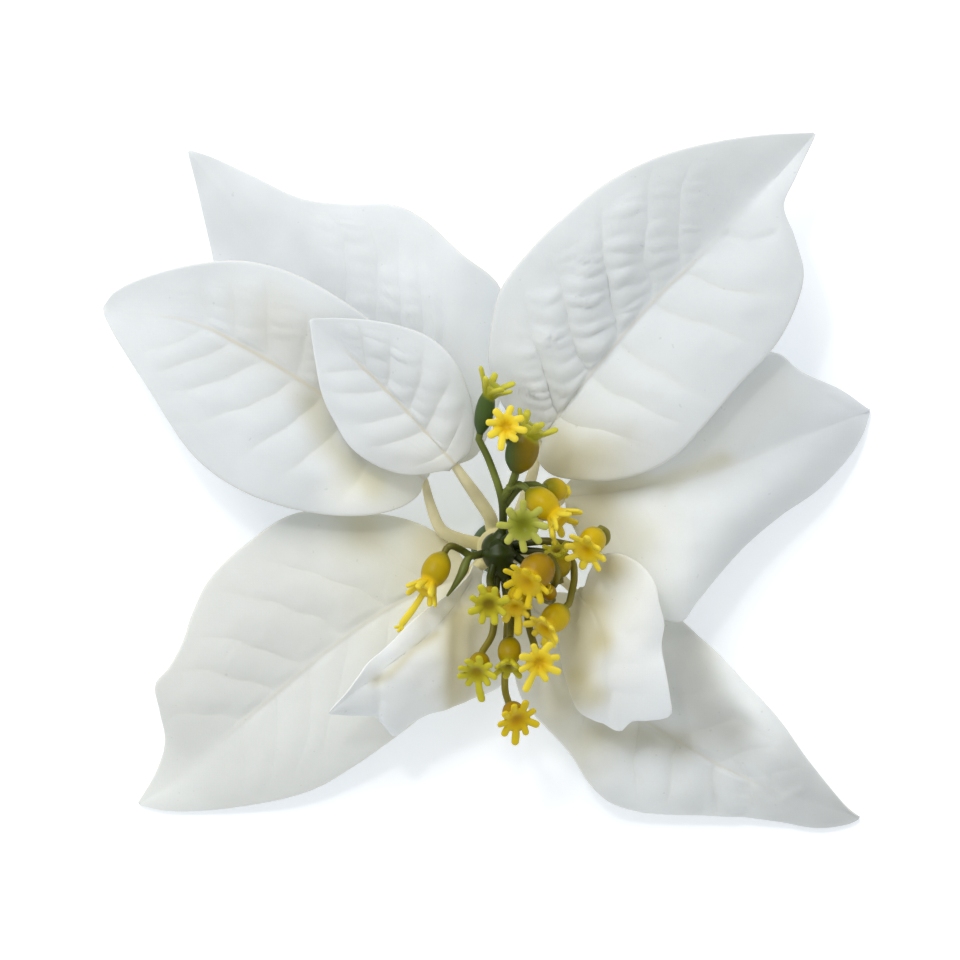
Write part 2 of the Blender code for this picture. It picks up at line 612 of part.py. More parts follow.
def make_cap(finish):
    profile = (
        (0, 0),
        (CAP_RADIUS, 0),
        (CAP_RADIUS, CAP_SHOULDER_Z),
        (CAP_SHOULDER_RADIUS, CAP_HEIGHT),
        (BORE_RADIUS, CAP_HEIGHT),
        (BORE_RADIUS, CAP_SOCKET_FLOOR),
        (0, CAP_SOCKET_FLOOR),
    )
    add_object("back_cap", turned_mesh("back_cap", profile, ROUND_SIDES), finish)


def stalk_mesh(name, blade, tier):
    """A stalk from its ring to the blade's base, which runs on under the blade as its rib."""
    height = ring_floor(tier) + RING_HEIGHT / 2
    rib_shares = [RIB_SHARE * step / RIB_STEPS for step in range(RIB_STEPS + 1)]
    rib_radii = [
        (RIB_THICKNESS + (RIB_END_THICKNESS - RIB_THICKNESS) * step / RIB_STEPS) / 2
        for step in range(RIB_STEPS + 1)
    ]
    rib = []
    for share, radius in zip(rib_shares, rib_radii):
        depth = BLADE_THICKNESS / 2 + CLEARANCE + radius
        rib.append(blade.point(share, 0) - depth * blade.normal(share, 0))
    via = blade.shape["route"][0] if blade.shape["route"] else rib[0]
    way = Vector((via[0], via[1], 0)).normalized()
    root = way * STALK_ROOT_RADIUS + UP * height
    rim = way * (RING_RADIUS + RIM_RUN) + UP * height
    free = Curve((root, rim, *blade.shape["route"], rib[0]))
    steps = STALK_STEPS + STEPS_A_POINT * len(blade.shape["route"])
    stalk = [free.at(step / steps) for step in range(steps)]
    wide = STALK_THICKNESS / 2
    stalk_radii = [wide + (rib_radii[0] - wide) * (step / steps) ** 2 for step in range(steps)]
    return tube_mesh(name, stalk + rib, stalk_radii + rib_radii, STALK_SIDES, STALK_FLATNESS)


def make_stalks(tier, blades, finish):
    floor = ring_floor(tier)
    profile = (
        (BORE_RADIUS, floor),
        (RING_RADIUS, floor),
        (RING_RADIUS, floor + RING_HEIGHT),
        (BORE_RADIUS, floor + RING_HEIGHT),
    )
    name = ("stalks_back", "stalks_mid", "stalks_front")[tier]
    parts = [turned_mesh(name, profile, ROUND_SIDES)]
    for blade_name, blade in blades.items():
        if blade.shape["tier"] == tier:
            parts.append(stalk_mesh("stalk_" + blade_name, blade, tier))
    fused(name, parts, finish)


def stem_mesh(name, flower):
    """A stem of the spray, up to just short of the foot of its flower."""
    face = Vector(flower["face"]).normalized()
    end = Vector(flower["foot"]) - CLEARANCE * face
    line = Curve((*flower["stem"], end - STEM_END_RUN * face))
    steps = STEM_STEPS + STEPS_A_POINT * len(flower["stem"])
    points = [line.at(step / steps) for step in range(steps + 1)] + [end]
    last = len(points) - 1
    radii = [STEM_RADIUS + (STEM_END_RADIUS - STEM_RADIUS) * k / last for k in range(last + 1)]
    return tube_mesh(name, points, radii, STEM_SIDES)


def make_spray(finish):
    points = [(0, 0, height) for height, _ in HUB_PROFILE]
    radii = [radius for _, radius in HUB_PROFILE]
    parts = [tube_mesh("flower_spray", points, radii, HUB_SIDES)]
    parts.append(tube_mesh("knuckle", KNUCKLE_ROUTE, KNUCKLE_RADII, HUB_SIDES))
    parts.append(tube_mesh("leaflet", LEAFLET_ROUTE, LEAFLET_RADII, STEM_SIDES))
    for name, flower in FLOWERS.items():
        parts.append(stem_mesh("stem_" + name, flower))
    fused("flower_spray", parts, finish)


def ray_line(flower, ray):
    """The root, rim and tip of one ray, which leaves the mouth of the cup."""
    foot, face = Vector(flower["foot"]), Vector(flower["face"]).normalized()
    fan = Vector(flower.get("fan", flower["face"])).normalized()
    start = Vector((0, 1, 0)) if face.z > FACING_UP else UP
    across = (start - start.dot(fan) * fan).normalized()
    turn = math.radians(flower["turn"]) + 2 * math.pi * ray / flower["rays"]
    aside = Quaternion(fan, turn) @ across
    spread = math.radians(flower["spread"]) * (1 + RAY_UNEVENNESS * math.sin(SPREAD_RHYTHM * ray))
    way = fan * math.cos(spread) + aside * math.sin(spread)
    uneven = 1 + RAY_UNEVENNESS * math.sin(REACH_RHYTHM * ray + 1)
    reach = flower["reach"] * (flower["first"] if ray == 0 else uneven)
    root = foot + face * flower["length"] * RAY_ROOT_SHARE
    rim = foot + face * flower["length"] * RAY_RIM_SHARE + aside * flower["radius"] * RAY_RIM_WIDTH
    return root, rim, rim + way * reach


def prong_mesh(name, flower, prong):
    """One finger of the fork that ends the first ray."""
    _, rim, tip = ray_line(flower, 0)
    way = (tip - rim).normalized()
    turn = math.radians(PRONG_SPREAD) * (prong - (flower["prongs"] - 1) / 2)
    aside = Quaternion(UP, turn) @ way
    return tube_mesh(name, (tip - way * PRONG_RADII[0], tip + aside * PRONG_REACH), PRONG_RADII, RAY_SIDES)


def web_mesh(name, flower):
    """The flared rim of the cup, which joins the roots of the rays."""
    foot, face = Vector(flower["foot"]), Vector(flower["face"]).normalized()
    fan = Vector(flower.get("fan", flower["face"])).normalized()
    spread = math.radians(flower["spread"])
    root = foot + face * flower["length"] * WEB_ROOT_SHARE
    rim = foot + face * flower["length"] * RAY_RIM_SHARE + fan * WEB_REACH * math.cos(spread)
    width = flower["radius"] * RAY_RIM_WIDTH + WEB_REACH * math.sin(spread)
    return tube_mesh(name, (root, rim), (flower["radius"] * WEB_ROOT_WIDTH, width), CUP_SIDES)


def make_flower(name, flower, finish):
    """A cup with a flared rim and rays that fan out of it."""
    foot, face = Vector(flower["foot"]), Vector(flower["face"]).normalized()
    spine = [foot + face * flower["length"] * height for height, _ in CUP_OUTLINE]
    radii = [flower["radius"] * radius for _, radius in CUP_OUTLINE]
    parts = [tube_mesh(name, spine, radii, CUP_SIDES), web_mesh(name + "_web", flower)]
    for ray in range(flower["rays"]):
        parts.append(tube_mesh(f"{name}_ray_{ray}", ray_line(flower, ray), RAY_RADII, RAY_SIDES))
    for prong in range(flower.get("prongs", 0)):
        parts.append(prong_mesh(f"{name}_prong_{prong}", flower, prong))
    fused(name, parts, finish)


def main():
    for old in list(bpy.data.objects):
        bpy.data.objects.remove(old)
    finishes = make_finishes()
    blades = {name: Blade(shape) for name, shape in BLADES.items()}
    make_cap(finishes["green"])
    for tier in range(3):
        make_stalks(tier, blades, finishes["stalk"])
    for name, blade in blades.items():
        add_object(name, sheet_mesh(name, blade), finishes["bract"])
    make_spray(finishes["green"])
    for name, flower in FLOWERS.items():
        make_flower(name, flower, finishes[flower["colour"]])


main()
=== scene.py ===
"""Dresses the artificial poinsettia head: veined fabric bracts, moulded stalks, stems and flowers.

Each piece takes its form from the same tables as the solids. They are in
millimetres in the model's frame: +Z up, the origin under the back cap.
"""

import json
import math

import bmesh
import bpy
import numpy as np
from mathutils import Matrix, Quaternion, Vector, noise

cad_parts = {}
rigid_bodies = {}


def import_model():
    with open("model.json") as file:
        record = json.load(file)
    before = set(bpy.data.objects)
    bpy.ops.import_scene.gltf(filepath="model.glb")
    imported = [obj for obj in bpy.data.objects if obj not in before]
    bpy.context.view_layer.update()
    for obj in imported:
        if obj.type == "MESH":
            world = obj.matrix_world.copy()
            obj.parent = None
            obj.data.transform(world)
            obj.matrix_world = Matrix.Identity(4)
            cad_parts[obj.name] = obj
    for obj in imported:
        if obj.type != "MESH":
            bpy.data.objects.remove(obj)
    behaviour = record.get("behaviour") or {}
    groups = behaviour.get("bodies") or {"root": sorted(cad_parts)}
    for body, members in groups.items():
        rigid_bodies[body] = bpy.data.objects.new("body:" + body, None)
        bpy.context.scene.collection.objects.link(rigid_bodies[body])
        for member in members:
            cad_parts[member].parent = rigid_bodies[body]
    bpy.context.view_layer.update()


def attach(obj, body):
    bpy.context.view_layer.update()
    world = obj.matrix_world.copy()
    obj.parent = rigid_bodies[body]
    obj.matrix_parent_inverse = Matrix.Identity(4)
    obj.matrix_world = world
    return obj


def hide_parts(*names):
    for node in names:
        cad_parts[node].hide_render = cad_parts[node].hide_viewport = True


MM = 0.001
UP = Vector((0, 0, 1))
TINY = 1e-12  # stands in for a length of zero in divisions

# Fits and sizes of the solids. The cap's profile lists radius and height, the hub's height and
# radius, and the cup's the shares of a flower's length and radius.
CLEARANCE = 0.3
BORE_RADIUS = 2.0
PEG_RADIUS = BORE_RADIUS - CLEARANCE
CAP_HEIGHT = 8.0
CAP_PROFILE = (
    (5.5, 0), (5.85, 0.15), (6, 0.5), (6, 4.6), (5.85, 5.2), (4.75, CAP_HEIGHT - 0.4), (4.3, CAP_HEIGHT),
    (BORE_RADIUS + 0.3, CAP_HEIGHT), (BORE_RADIUS, CAP_HEIGHT - 0.3), (BORE_RADIUS, 2.5),
)
RING_NAMES = ("stalks_back", "stalks_mid", "stalks_front")
RING_RADIUS = 4.6
RING_HEIGHT = 2.5
RING_PITCH = RING_HEIGHT + CLEARANCE
RING_CHAMFER = 0.3
STALK_ROOT_RADIUS = 3.4
STALK_THICKNESS = 2.4
STALK_FLATNESS = 1.3
RIB_THICKNESS = 1.3
RIB_END_THICKNESS = 0.7
RIB_SHARE = 0.62
RIM_RUN = 0.6
NECK_WIDTH = 3.0
TIP_WIDTH = 0.8
RUFFLE_WAVES = 3
END_SHARE = 0.05
HUB_PROFILE = (
    (2.8, PEG_RADIUS), (16.4, PEG_RADIUS), (17.6, 3.0), (20.5, 3.6), (24.0, 3.4), (26.4, 1.8),
)
KNUCKLE_ROUTE = (
    (1.5, 4.8, 24), (1.2, 3.4, 24), (0.5, 0.8, 23.6), (0.6, -2.6, 23.4), (1.3, -5.4, 23.2),
    (1.9, -7.2, 22.8),
)
KNUCKLE_RADII = (0.9, 2, 3.7, 4.1, 3, 1.2)
LEAFLET_ROUTE = (
    (-5.4, -1.4, 23.6), (-6.8, -2.6, 24.6), (-8, -5.6, 25.6), (-9.9, -8.8, 26.4), (-11.5, -11, 26.8),
)
LEAFLET_RADII = (0.8, 0.9, 1.1, 0.8, 0.25)
STEM_RADIUS = 0.95
STEM_END_RADIUS = 0.8
STEM_END_RUN = 1.4
STEM_GAP = 0.1
STEM_STEPS = (12, 10)
CUP_OUTLINE = ((0.0, 0.36), (0.22, 0.82), (0.52, 1.0), (0.8, 0.9), (1.0, 0.62))
RAY_ROOT_SHARE = 0.72
RAY_RIM_SHARE = 0.96
RAY_RIM_WIDTH = 0.42
PRONG_SPREAD = 38
PRONG_REACH = 2.0
RAY_UNEVENNESS = 0.12
SPREAD_RHYTHM = 5
REACH_RHYTHM = 3
FACING_UP = 0.6
UPRIGHT = 0.95

# How finely the pieces are made
STEPS_A_SPAN = 24
ROW_SPACING = 0.75
STRIP_ROWS = (8, 40)
ROW_CROWDING = 0.08
COLUMNS_A_SIDE = 54
COLUMN_CROWDING = 1.15
SPOT_GRID = (201, 101)
RIB_STEPS = 26
STALK_STEPS = 40
TUBE_SIDES = 16
HUB_SIDES = 32
HUB_STEPS = 60
KNUCKLE_SIDES = 28
KNUCKLE_STEPS = 30
LEAFLET_STEPS = 22
ROUND_SIDES = 64
ROUND_SHARES = (0.3, 0.58, 0.8, 0.94)
CUP_SIDES = 30
CUP_STEPS = 22
RAY_SIDES = 12
RAY_STEPS = 12
PRONG_STEPS = 8
NEAR_ALONG = 0.01
NEAR_ACROSS = 0.02
SHARP_ANGLE = 50
CAP_SHARP_ANGLE = 40

# The sheet of the bracts: its thickness in millimetres, the share of it that the rim keeps, and
# where it starts to thin out, across the blade and along it
SHEET_THICKNESS = 0.7
RIM_THICKNESS = 0.45
RIM_SHARE = 0.97
END_RUN = 0.01

# How the arch over the rib is rounded off towards the tip, and where it starts
ROUNDING_RUN = (0.6, 0.9)
ARCH_START = 1.02

# The side veins: their bow, their knots from rib to edge and the least strip between two
VEIN_BOW = 0.05
VEIN_KNOTS = 11
VEIN_SPOTS = (0.15, 1, 9)
LEAST_STRIP = 0.5

# The relief pressed into the bracts: heights, widths and lengths in millimetres, the rest as factors
PILLOW_RISE = 0.10
WIDEST_PILLOW = 9.0
GROOVE_DEPTH = 0.12
GROOVE_WIDTH = 0.9
NET_RISE = 0.5
NET_PITCH = 3.7
NET_WOBBLE = 1.0
NET_WOBBLE_LENGTH = 4.0
NET_UNEVENNESS = 0.8
LEAST_NET = 0.3
NET_ROUNDNESS = (0.8, 0.75)
CREASE_SHIFT = 0.7
CREASE_TILT = 0.5
CORD_RISE = 0.16
CORD_WIDTH = 0.45
CORD_GROOVE = 0.08
CORD_GROOVE_WIDTH = 1.8
WOBBLE = 0.1
WOBBLE_LENGTH = 7.0
SWAY = 0.45
SWAY_LENGTH = 17.0
CRUMPLE = 0.10
CRUMPLE_LENGTH = 4.5

# Where the relief fades, counted in side veins from the base, or in shares of the way from rib to edge
FIRST_FADE = 0.4
LAST_FADE = (0.6, 0.5)
FALL_STRIPS = (2.6, 4.8)
FADE_LENGTH = 6.5
RIB_CLEAR = 0.10
EDGE_FADE = (0.92, 0.45)
EDGE_FADE_UNEVENNESS = 0.2
CORD_START = 0.4
CORD_FADE = (0.9, 0.4)
CORD_TINT_FADE = 0.9

# What is added to a bract's own seed for each kind of noise
# the noise that makes the edges of the patches of painted shade and light uneven
SHADE_SEED = 20
WOBBLE_SEED = 40
FADE_SEED = 60
NET_SEED = 80
MOTTLE_SEED = 90

# Factors that scatter whole numbers over 0 to 1, and the keys that tell the net's values apart
SCATTER_FACTORS = (12.9898, 78.233, 37.719)
SCATTER_SCALE = 43758.5453
SHIFT_KEY = 2
TILT_KEY = 5
WEIGHT_KEY = 7

# Rays of the small flowers
RAY_WIDTHS = (0.8, 0.8, 0.76, 0.78, 0.88, 0.86)
RAY_FLATNESS = 0.62
RAY_ARCH = 0.15
RAY_BEND = 0.22
RAY_VARIETY = 0.1
PRONG_WIDTH = 0.42
PRONG_FLATNESS = 0.8

# The web that joins the rays round a dimple: how far it reaches, and its profile as
# the height over the rim along the fan and the share of the whole width
WEB_ROOT_SHARE = 0.85
WEB_ROOT_WIDTH = 0.5
WEB_MIDDLE = (0.6, 0.5)
WEB_REACH = 1.4
WEB_SHARE = 0.58
WEB_PROFILE = (
    (-0.1, 0.97), (0.12, 1), (0.32, 0.88), (0.26, 0.6), (-0.15, 0.32), (-0.45, 0.12),
)

# The screen scale on which the colours are picked
SCREEN_WHITE = 255
SCREEN_GAMMA = 2.2


def linear(red, green, blue):
    """A colour picked on the screen scale, as linear light."""
    return tuple((value / SCREEN_WHITE) ** SCREEN_GAMMA for value in (red, green, blue))


# Colours of the bracts, and how far they reach from the heart of the head. The olive near
# the heart is painted shade with bounced yellow light, and the lightening there is painted light.
COOL_WHITE = linear(221, 225, 227)
CREAM = linear(218, 214, 192)
# painted olive shade and bounced yellow light near the heart of the head
HEART_SHADE_OLIVE = linear(188, 180, 140)
# mostly painted olive shade and painted yellow light reflected from the flowers, with some warm tint
OLIVE_SHADE = linear(176, 163, 100)
RIB_CREAM = linear(208, 196, 162)
EDGE_CREAM = linear(234, 228, 210)
BRIGHTEST = 0.95
HEART = (6.0, -2.0)
CREAM_REACH = 29.0
CREAM_SHARE = 0.8
# how far the painted olive shade near the heart reaches, and how strong it is
HEART_SHADE_REACH = 15.0
HEART_SHADE_SHARE = 0.5
# painted light: the colour is made lighter near the heart, where the bracts lie in each other's shade
HEART_PAINTED_LIGHT = 0.22
HEART_PAINTED_LIGHT_REACH = 42.0
CREASE_CREAM = 0.35
EDGE_SHARE = 0.985
EDGE_CREAM_SHARE = 0.4
# how quickly the painted shade of one half turns into that of the other across the rib
HALF_SHADE_RUN = 0.15
# how uneven the edges of the patches of painted shade and light are
SHADE_EDGE_LENGTH = 6.0
SHADE_EDGE_UNEVENNESS = 0.35
MOTTLE_LENGTH = 7.0

# Colours of the small flowers: foot of the cup, its middle, its heart, and the rays' roots and ends
PALETTES = {
    "green": ((62, 80, 34), (68, 86, 42), (104, 112, 20), (142, 142, 28), (192, 186, 62)),
    "lime": ((84, 104, 34), (104, 120, 40), (108, 108, 6), (122, 128, 28), (172, 174, 78)),
    "olive": ((112, 106, 20), (156, 132, 4), (112, 94, 0), (144, 130, 6), (186, 178, 46)),
    "amber": ((112, 106, 20), (150, 126, 4), (150, 128, 0), (150, 136, 6), (188, 180, 46)),
    "gold": ((120, 110, 14), (156, 122, 0), (174, 132, 0), (196, 156, 0), (210, 184, 34)),
    "yellow": ((134, 128, 24), (194, 164, 14), (194, 150, 2), (216, 178, 10), (227, 205, 62)),
}
YELLOWS = ("gold", "yellow")

# Where a flower turns from one of its colours to the next: up the cup in shares of
# its length, across it in shares of its radius, along the rays in shares of their
# reach, and over or away from the mouth in millimetres
FOOT_RUN = (0.05, 0.5)
# across the cup: where the side's own tint and painted light and shade set in
SIDE_SHADE_RUN = (-0.5, 0.8)
OUTSIDE_CUP = (1.03, 1.2)
RAY_RUN = (0.3, 1.0)
RAY_HEIGHTS = (-0.6, 0.3)
RAY_START = (0.2, 0.8)
HEART_HEIGHTS = (-1.5, -0.2)
HEART_RUN = (1.9, 0.9)
HEART_SHARE = 0.8

# Colours of the stalks and stems
STALK_CREAM = linear(224, 214, 172)
STALK_OLIVE = linear(204, 194, 136)
STALK_OLIVE_REACH = 11.0
HUB_GREEN = linear(44, 54, 8)
HUB_CENTRE_X = 1
HUB_REACH = (4.0, 17.0)
STEM_OLIVE = linear(138, 126, 42)
STEM_GREEN = linear(112, 120, 52)
GREEN_FROM_Y = (2.0, 10.0)
STEM_SHARE = 0.75
STEM_BLOTCH = 0.5
STEM_BLOTCH_LENGTH = 6.0
STEM_BLOTCH_SEED = 3
LEAFLET_REACH = 3.0
LEAFLET_WIDTH = 2.0
LEAFLET_SHARE = 0.8
CAP_GREEN = linear(78, 96, 52)

# The materials' noises as scale, detail and roughness, and how far each turns the colour
FABRIC_WEAVE = {"Scale": 520.0, "Distortion": 4.0, "Detail": 2.0, "Detail Scale": 1.5}
FABRIC_WEAVE_RISE = 0.5
FABRIC_WEAVE_TONE = 0.003
FABRIC_GRAIN = (1500.0, 4.0, 0.6)
FABRIC_GRAIN_TONE = 0.02
FABRIC_ROUGHNESS = (0.82, 0.95)
FABRIC_BLOTCH = (60.0, 4.0, 0.55)
FABRIC_BLOTCH_TONE = 0.025
FABRIC_SPECKS = (700.0, 1.0, 0.5)
FABRIC_SPECK_LEVEL = 0.78
FABRIC_SPECK_TONE = 0.9
FABRIC_BUMP = (0.22, 0.00005)
FABRIC_SHADER = {
    "Subsurface Weight": 0.4,
    "Subsurface Radius": (1.0, 0.95, 0.8),
    "Subsurface Scale": 0.0016,
    "Sheen Weight": 0.08,
    "Sheen Roughness": 0.5,
    "Specular IOR Level": 0.15,
}
MOULDED_BLOTCH = (220.0, 3.0, 0.5)
MOULDED_BLOTCH_TONE = 0.2
MOULDED_BLOTCH_RISE = 2.0
MOULDED_PEEL = (900.0, 2.0, 0.5)
MOULDED_PEEL_ROUGHNESS = 0.06
MOULDED_BUMP = (0.25, 0.0001)
PLASTICS = (
    ("stalk_plastic", 0.5, 0.3),
    ("stem_plastic", 0.36, 0.25),
    ("floret_plastic", 0.32, 0.15),
)

# The floor, the light and the camera, in metres
FLOOR_HALF = 3.0
FLOOR_WHITE = (0.93, 0.94, 0.95, 1)
FLOOR_CLOUD = (3.0, 3.0, 0.5)
FLOOR_CLOUD_TONE = 0.01
FLOOR_SHADER = {
    "Roughness": 0.9,
    "Specular IOR Level": 0.1,
    "Emission Color": (0.92, 0.98, 1.05, 1),
    "Emission Strength": 0.28,
}
SKY_COLOUR = (0.96, 0.98, 1.0, 1)
SKY_STRENGTH = 0.70
SOFTBOXES = (
    ("key", (-0.5, 0.95, 0.95), 0.9, 9.5, (1.0, 0.99, 0.97)),
    ("glint", (-0.3, 0.6, 1.2), 0.12, 2.0, (1.0, 1.0, 1.0)),
)
CAMERA_HEIGHT = 5.0
CAMERA_REACH = 20.0
SENSOR_WIDTH = 36.0
VIEW_WIDTH = 0.2208
VIEW_CENTRE = (-0.00391, 0.01564)
VIEW_LEVEL = 0.015

# What a bract has unless its row says otherwise. The pairs hold the value of its
# left and of its right half, or of its base and its tip.
PLAIN_BRACT = dict(
    route=(),  # its stalk between the ring and the base
    rounding=(0.18, 0.5),  # how widely the arch is rounded over the rib, at the base and at the tip
    arch_end=0.75,  # where along the blade the arch has its full height
    groove=(0, 0),  # how sharp the side veins are
    net=(0, 0),  # how strong the fine net between them is
    skew=(1, 1),  # below 1, the tops of the pillows are nearer to the base
    peak=(1, 1),  # above 1, the pillows are narrower, with wider valleys
    fall=(0, 0),  # how far the relief fades towards the tip
    cord=0,  # how strong the midrib is
    line=0.6,  # how cream the midrib is
    cream=0,  # how cream the whole blade is
    first=0.5,  # the side vein at which the relief starts
    last=None,  # the side vein at which it ends
    mottle=0.02,  # how uneven the colour is
    crumple=1,  # how crumpled the sheet is
    folds=(),
    # olive patches of painted shade and reflected yellow light, and patches of painted light and shade
    stains=(),
    shades=(),
)
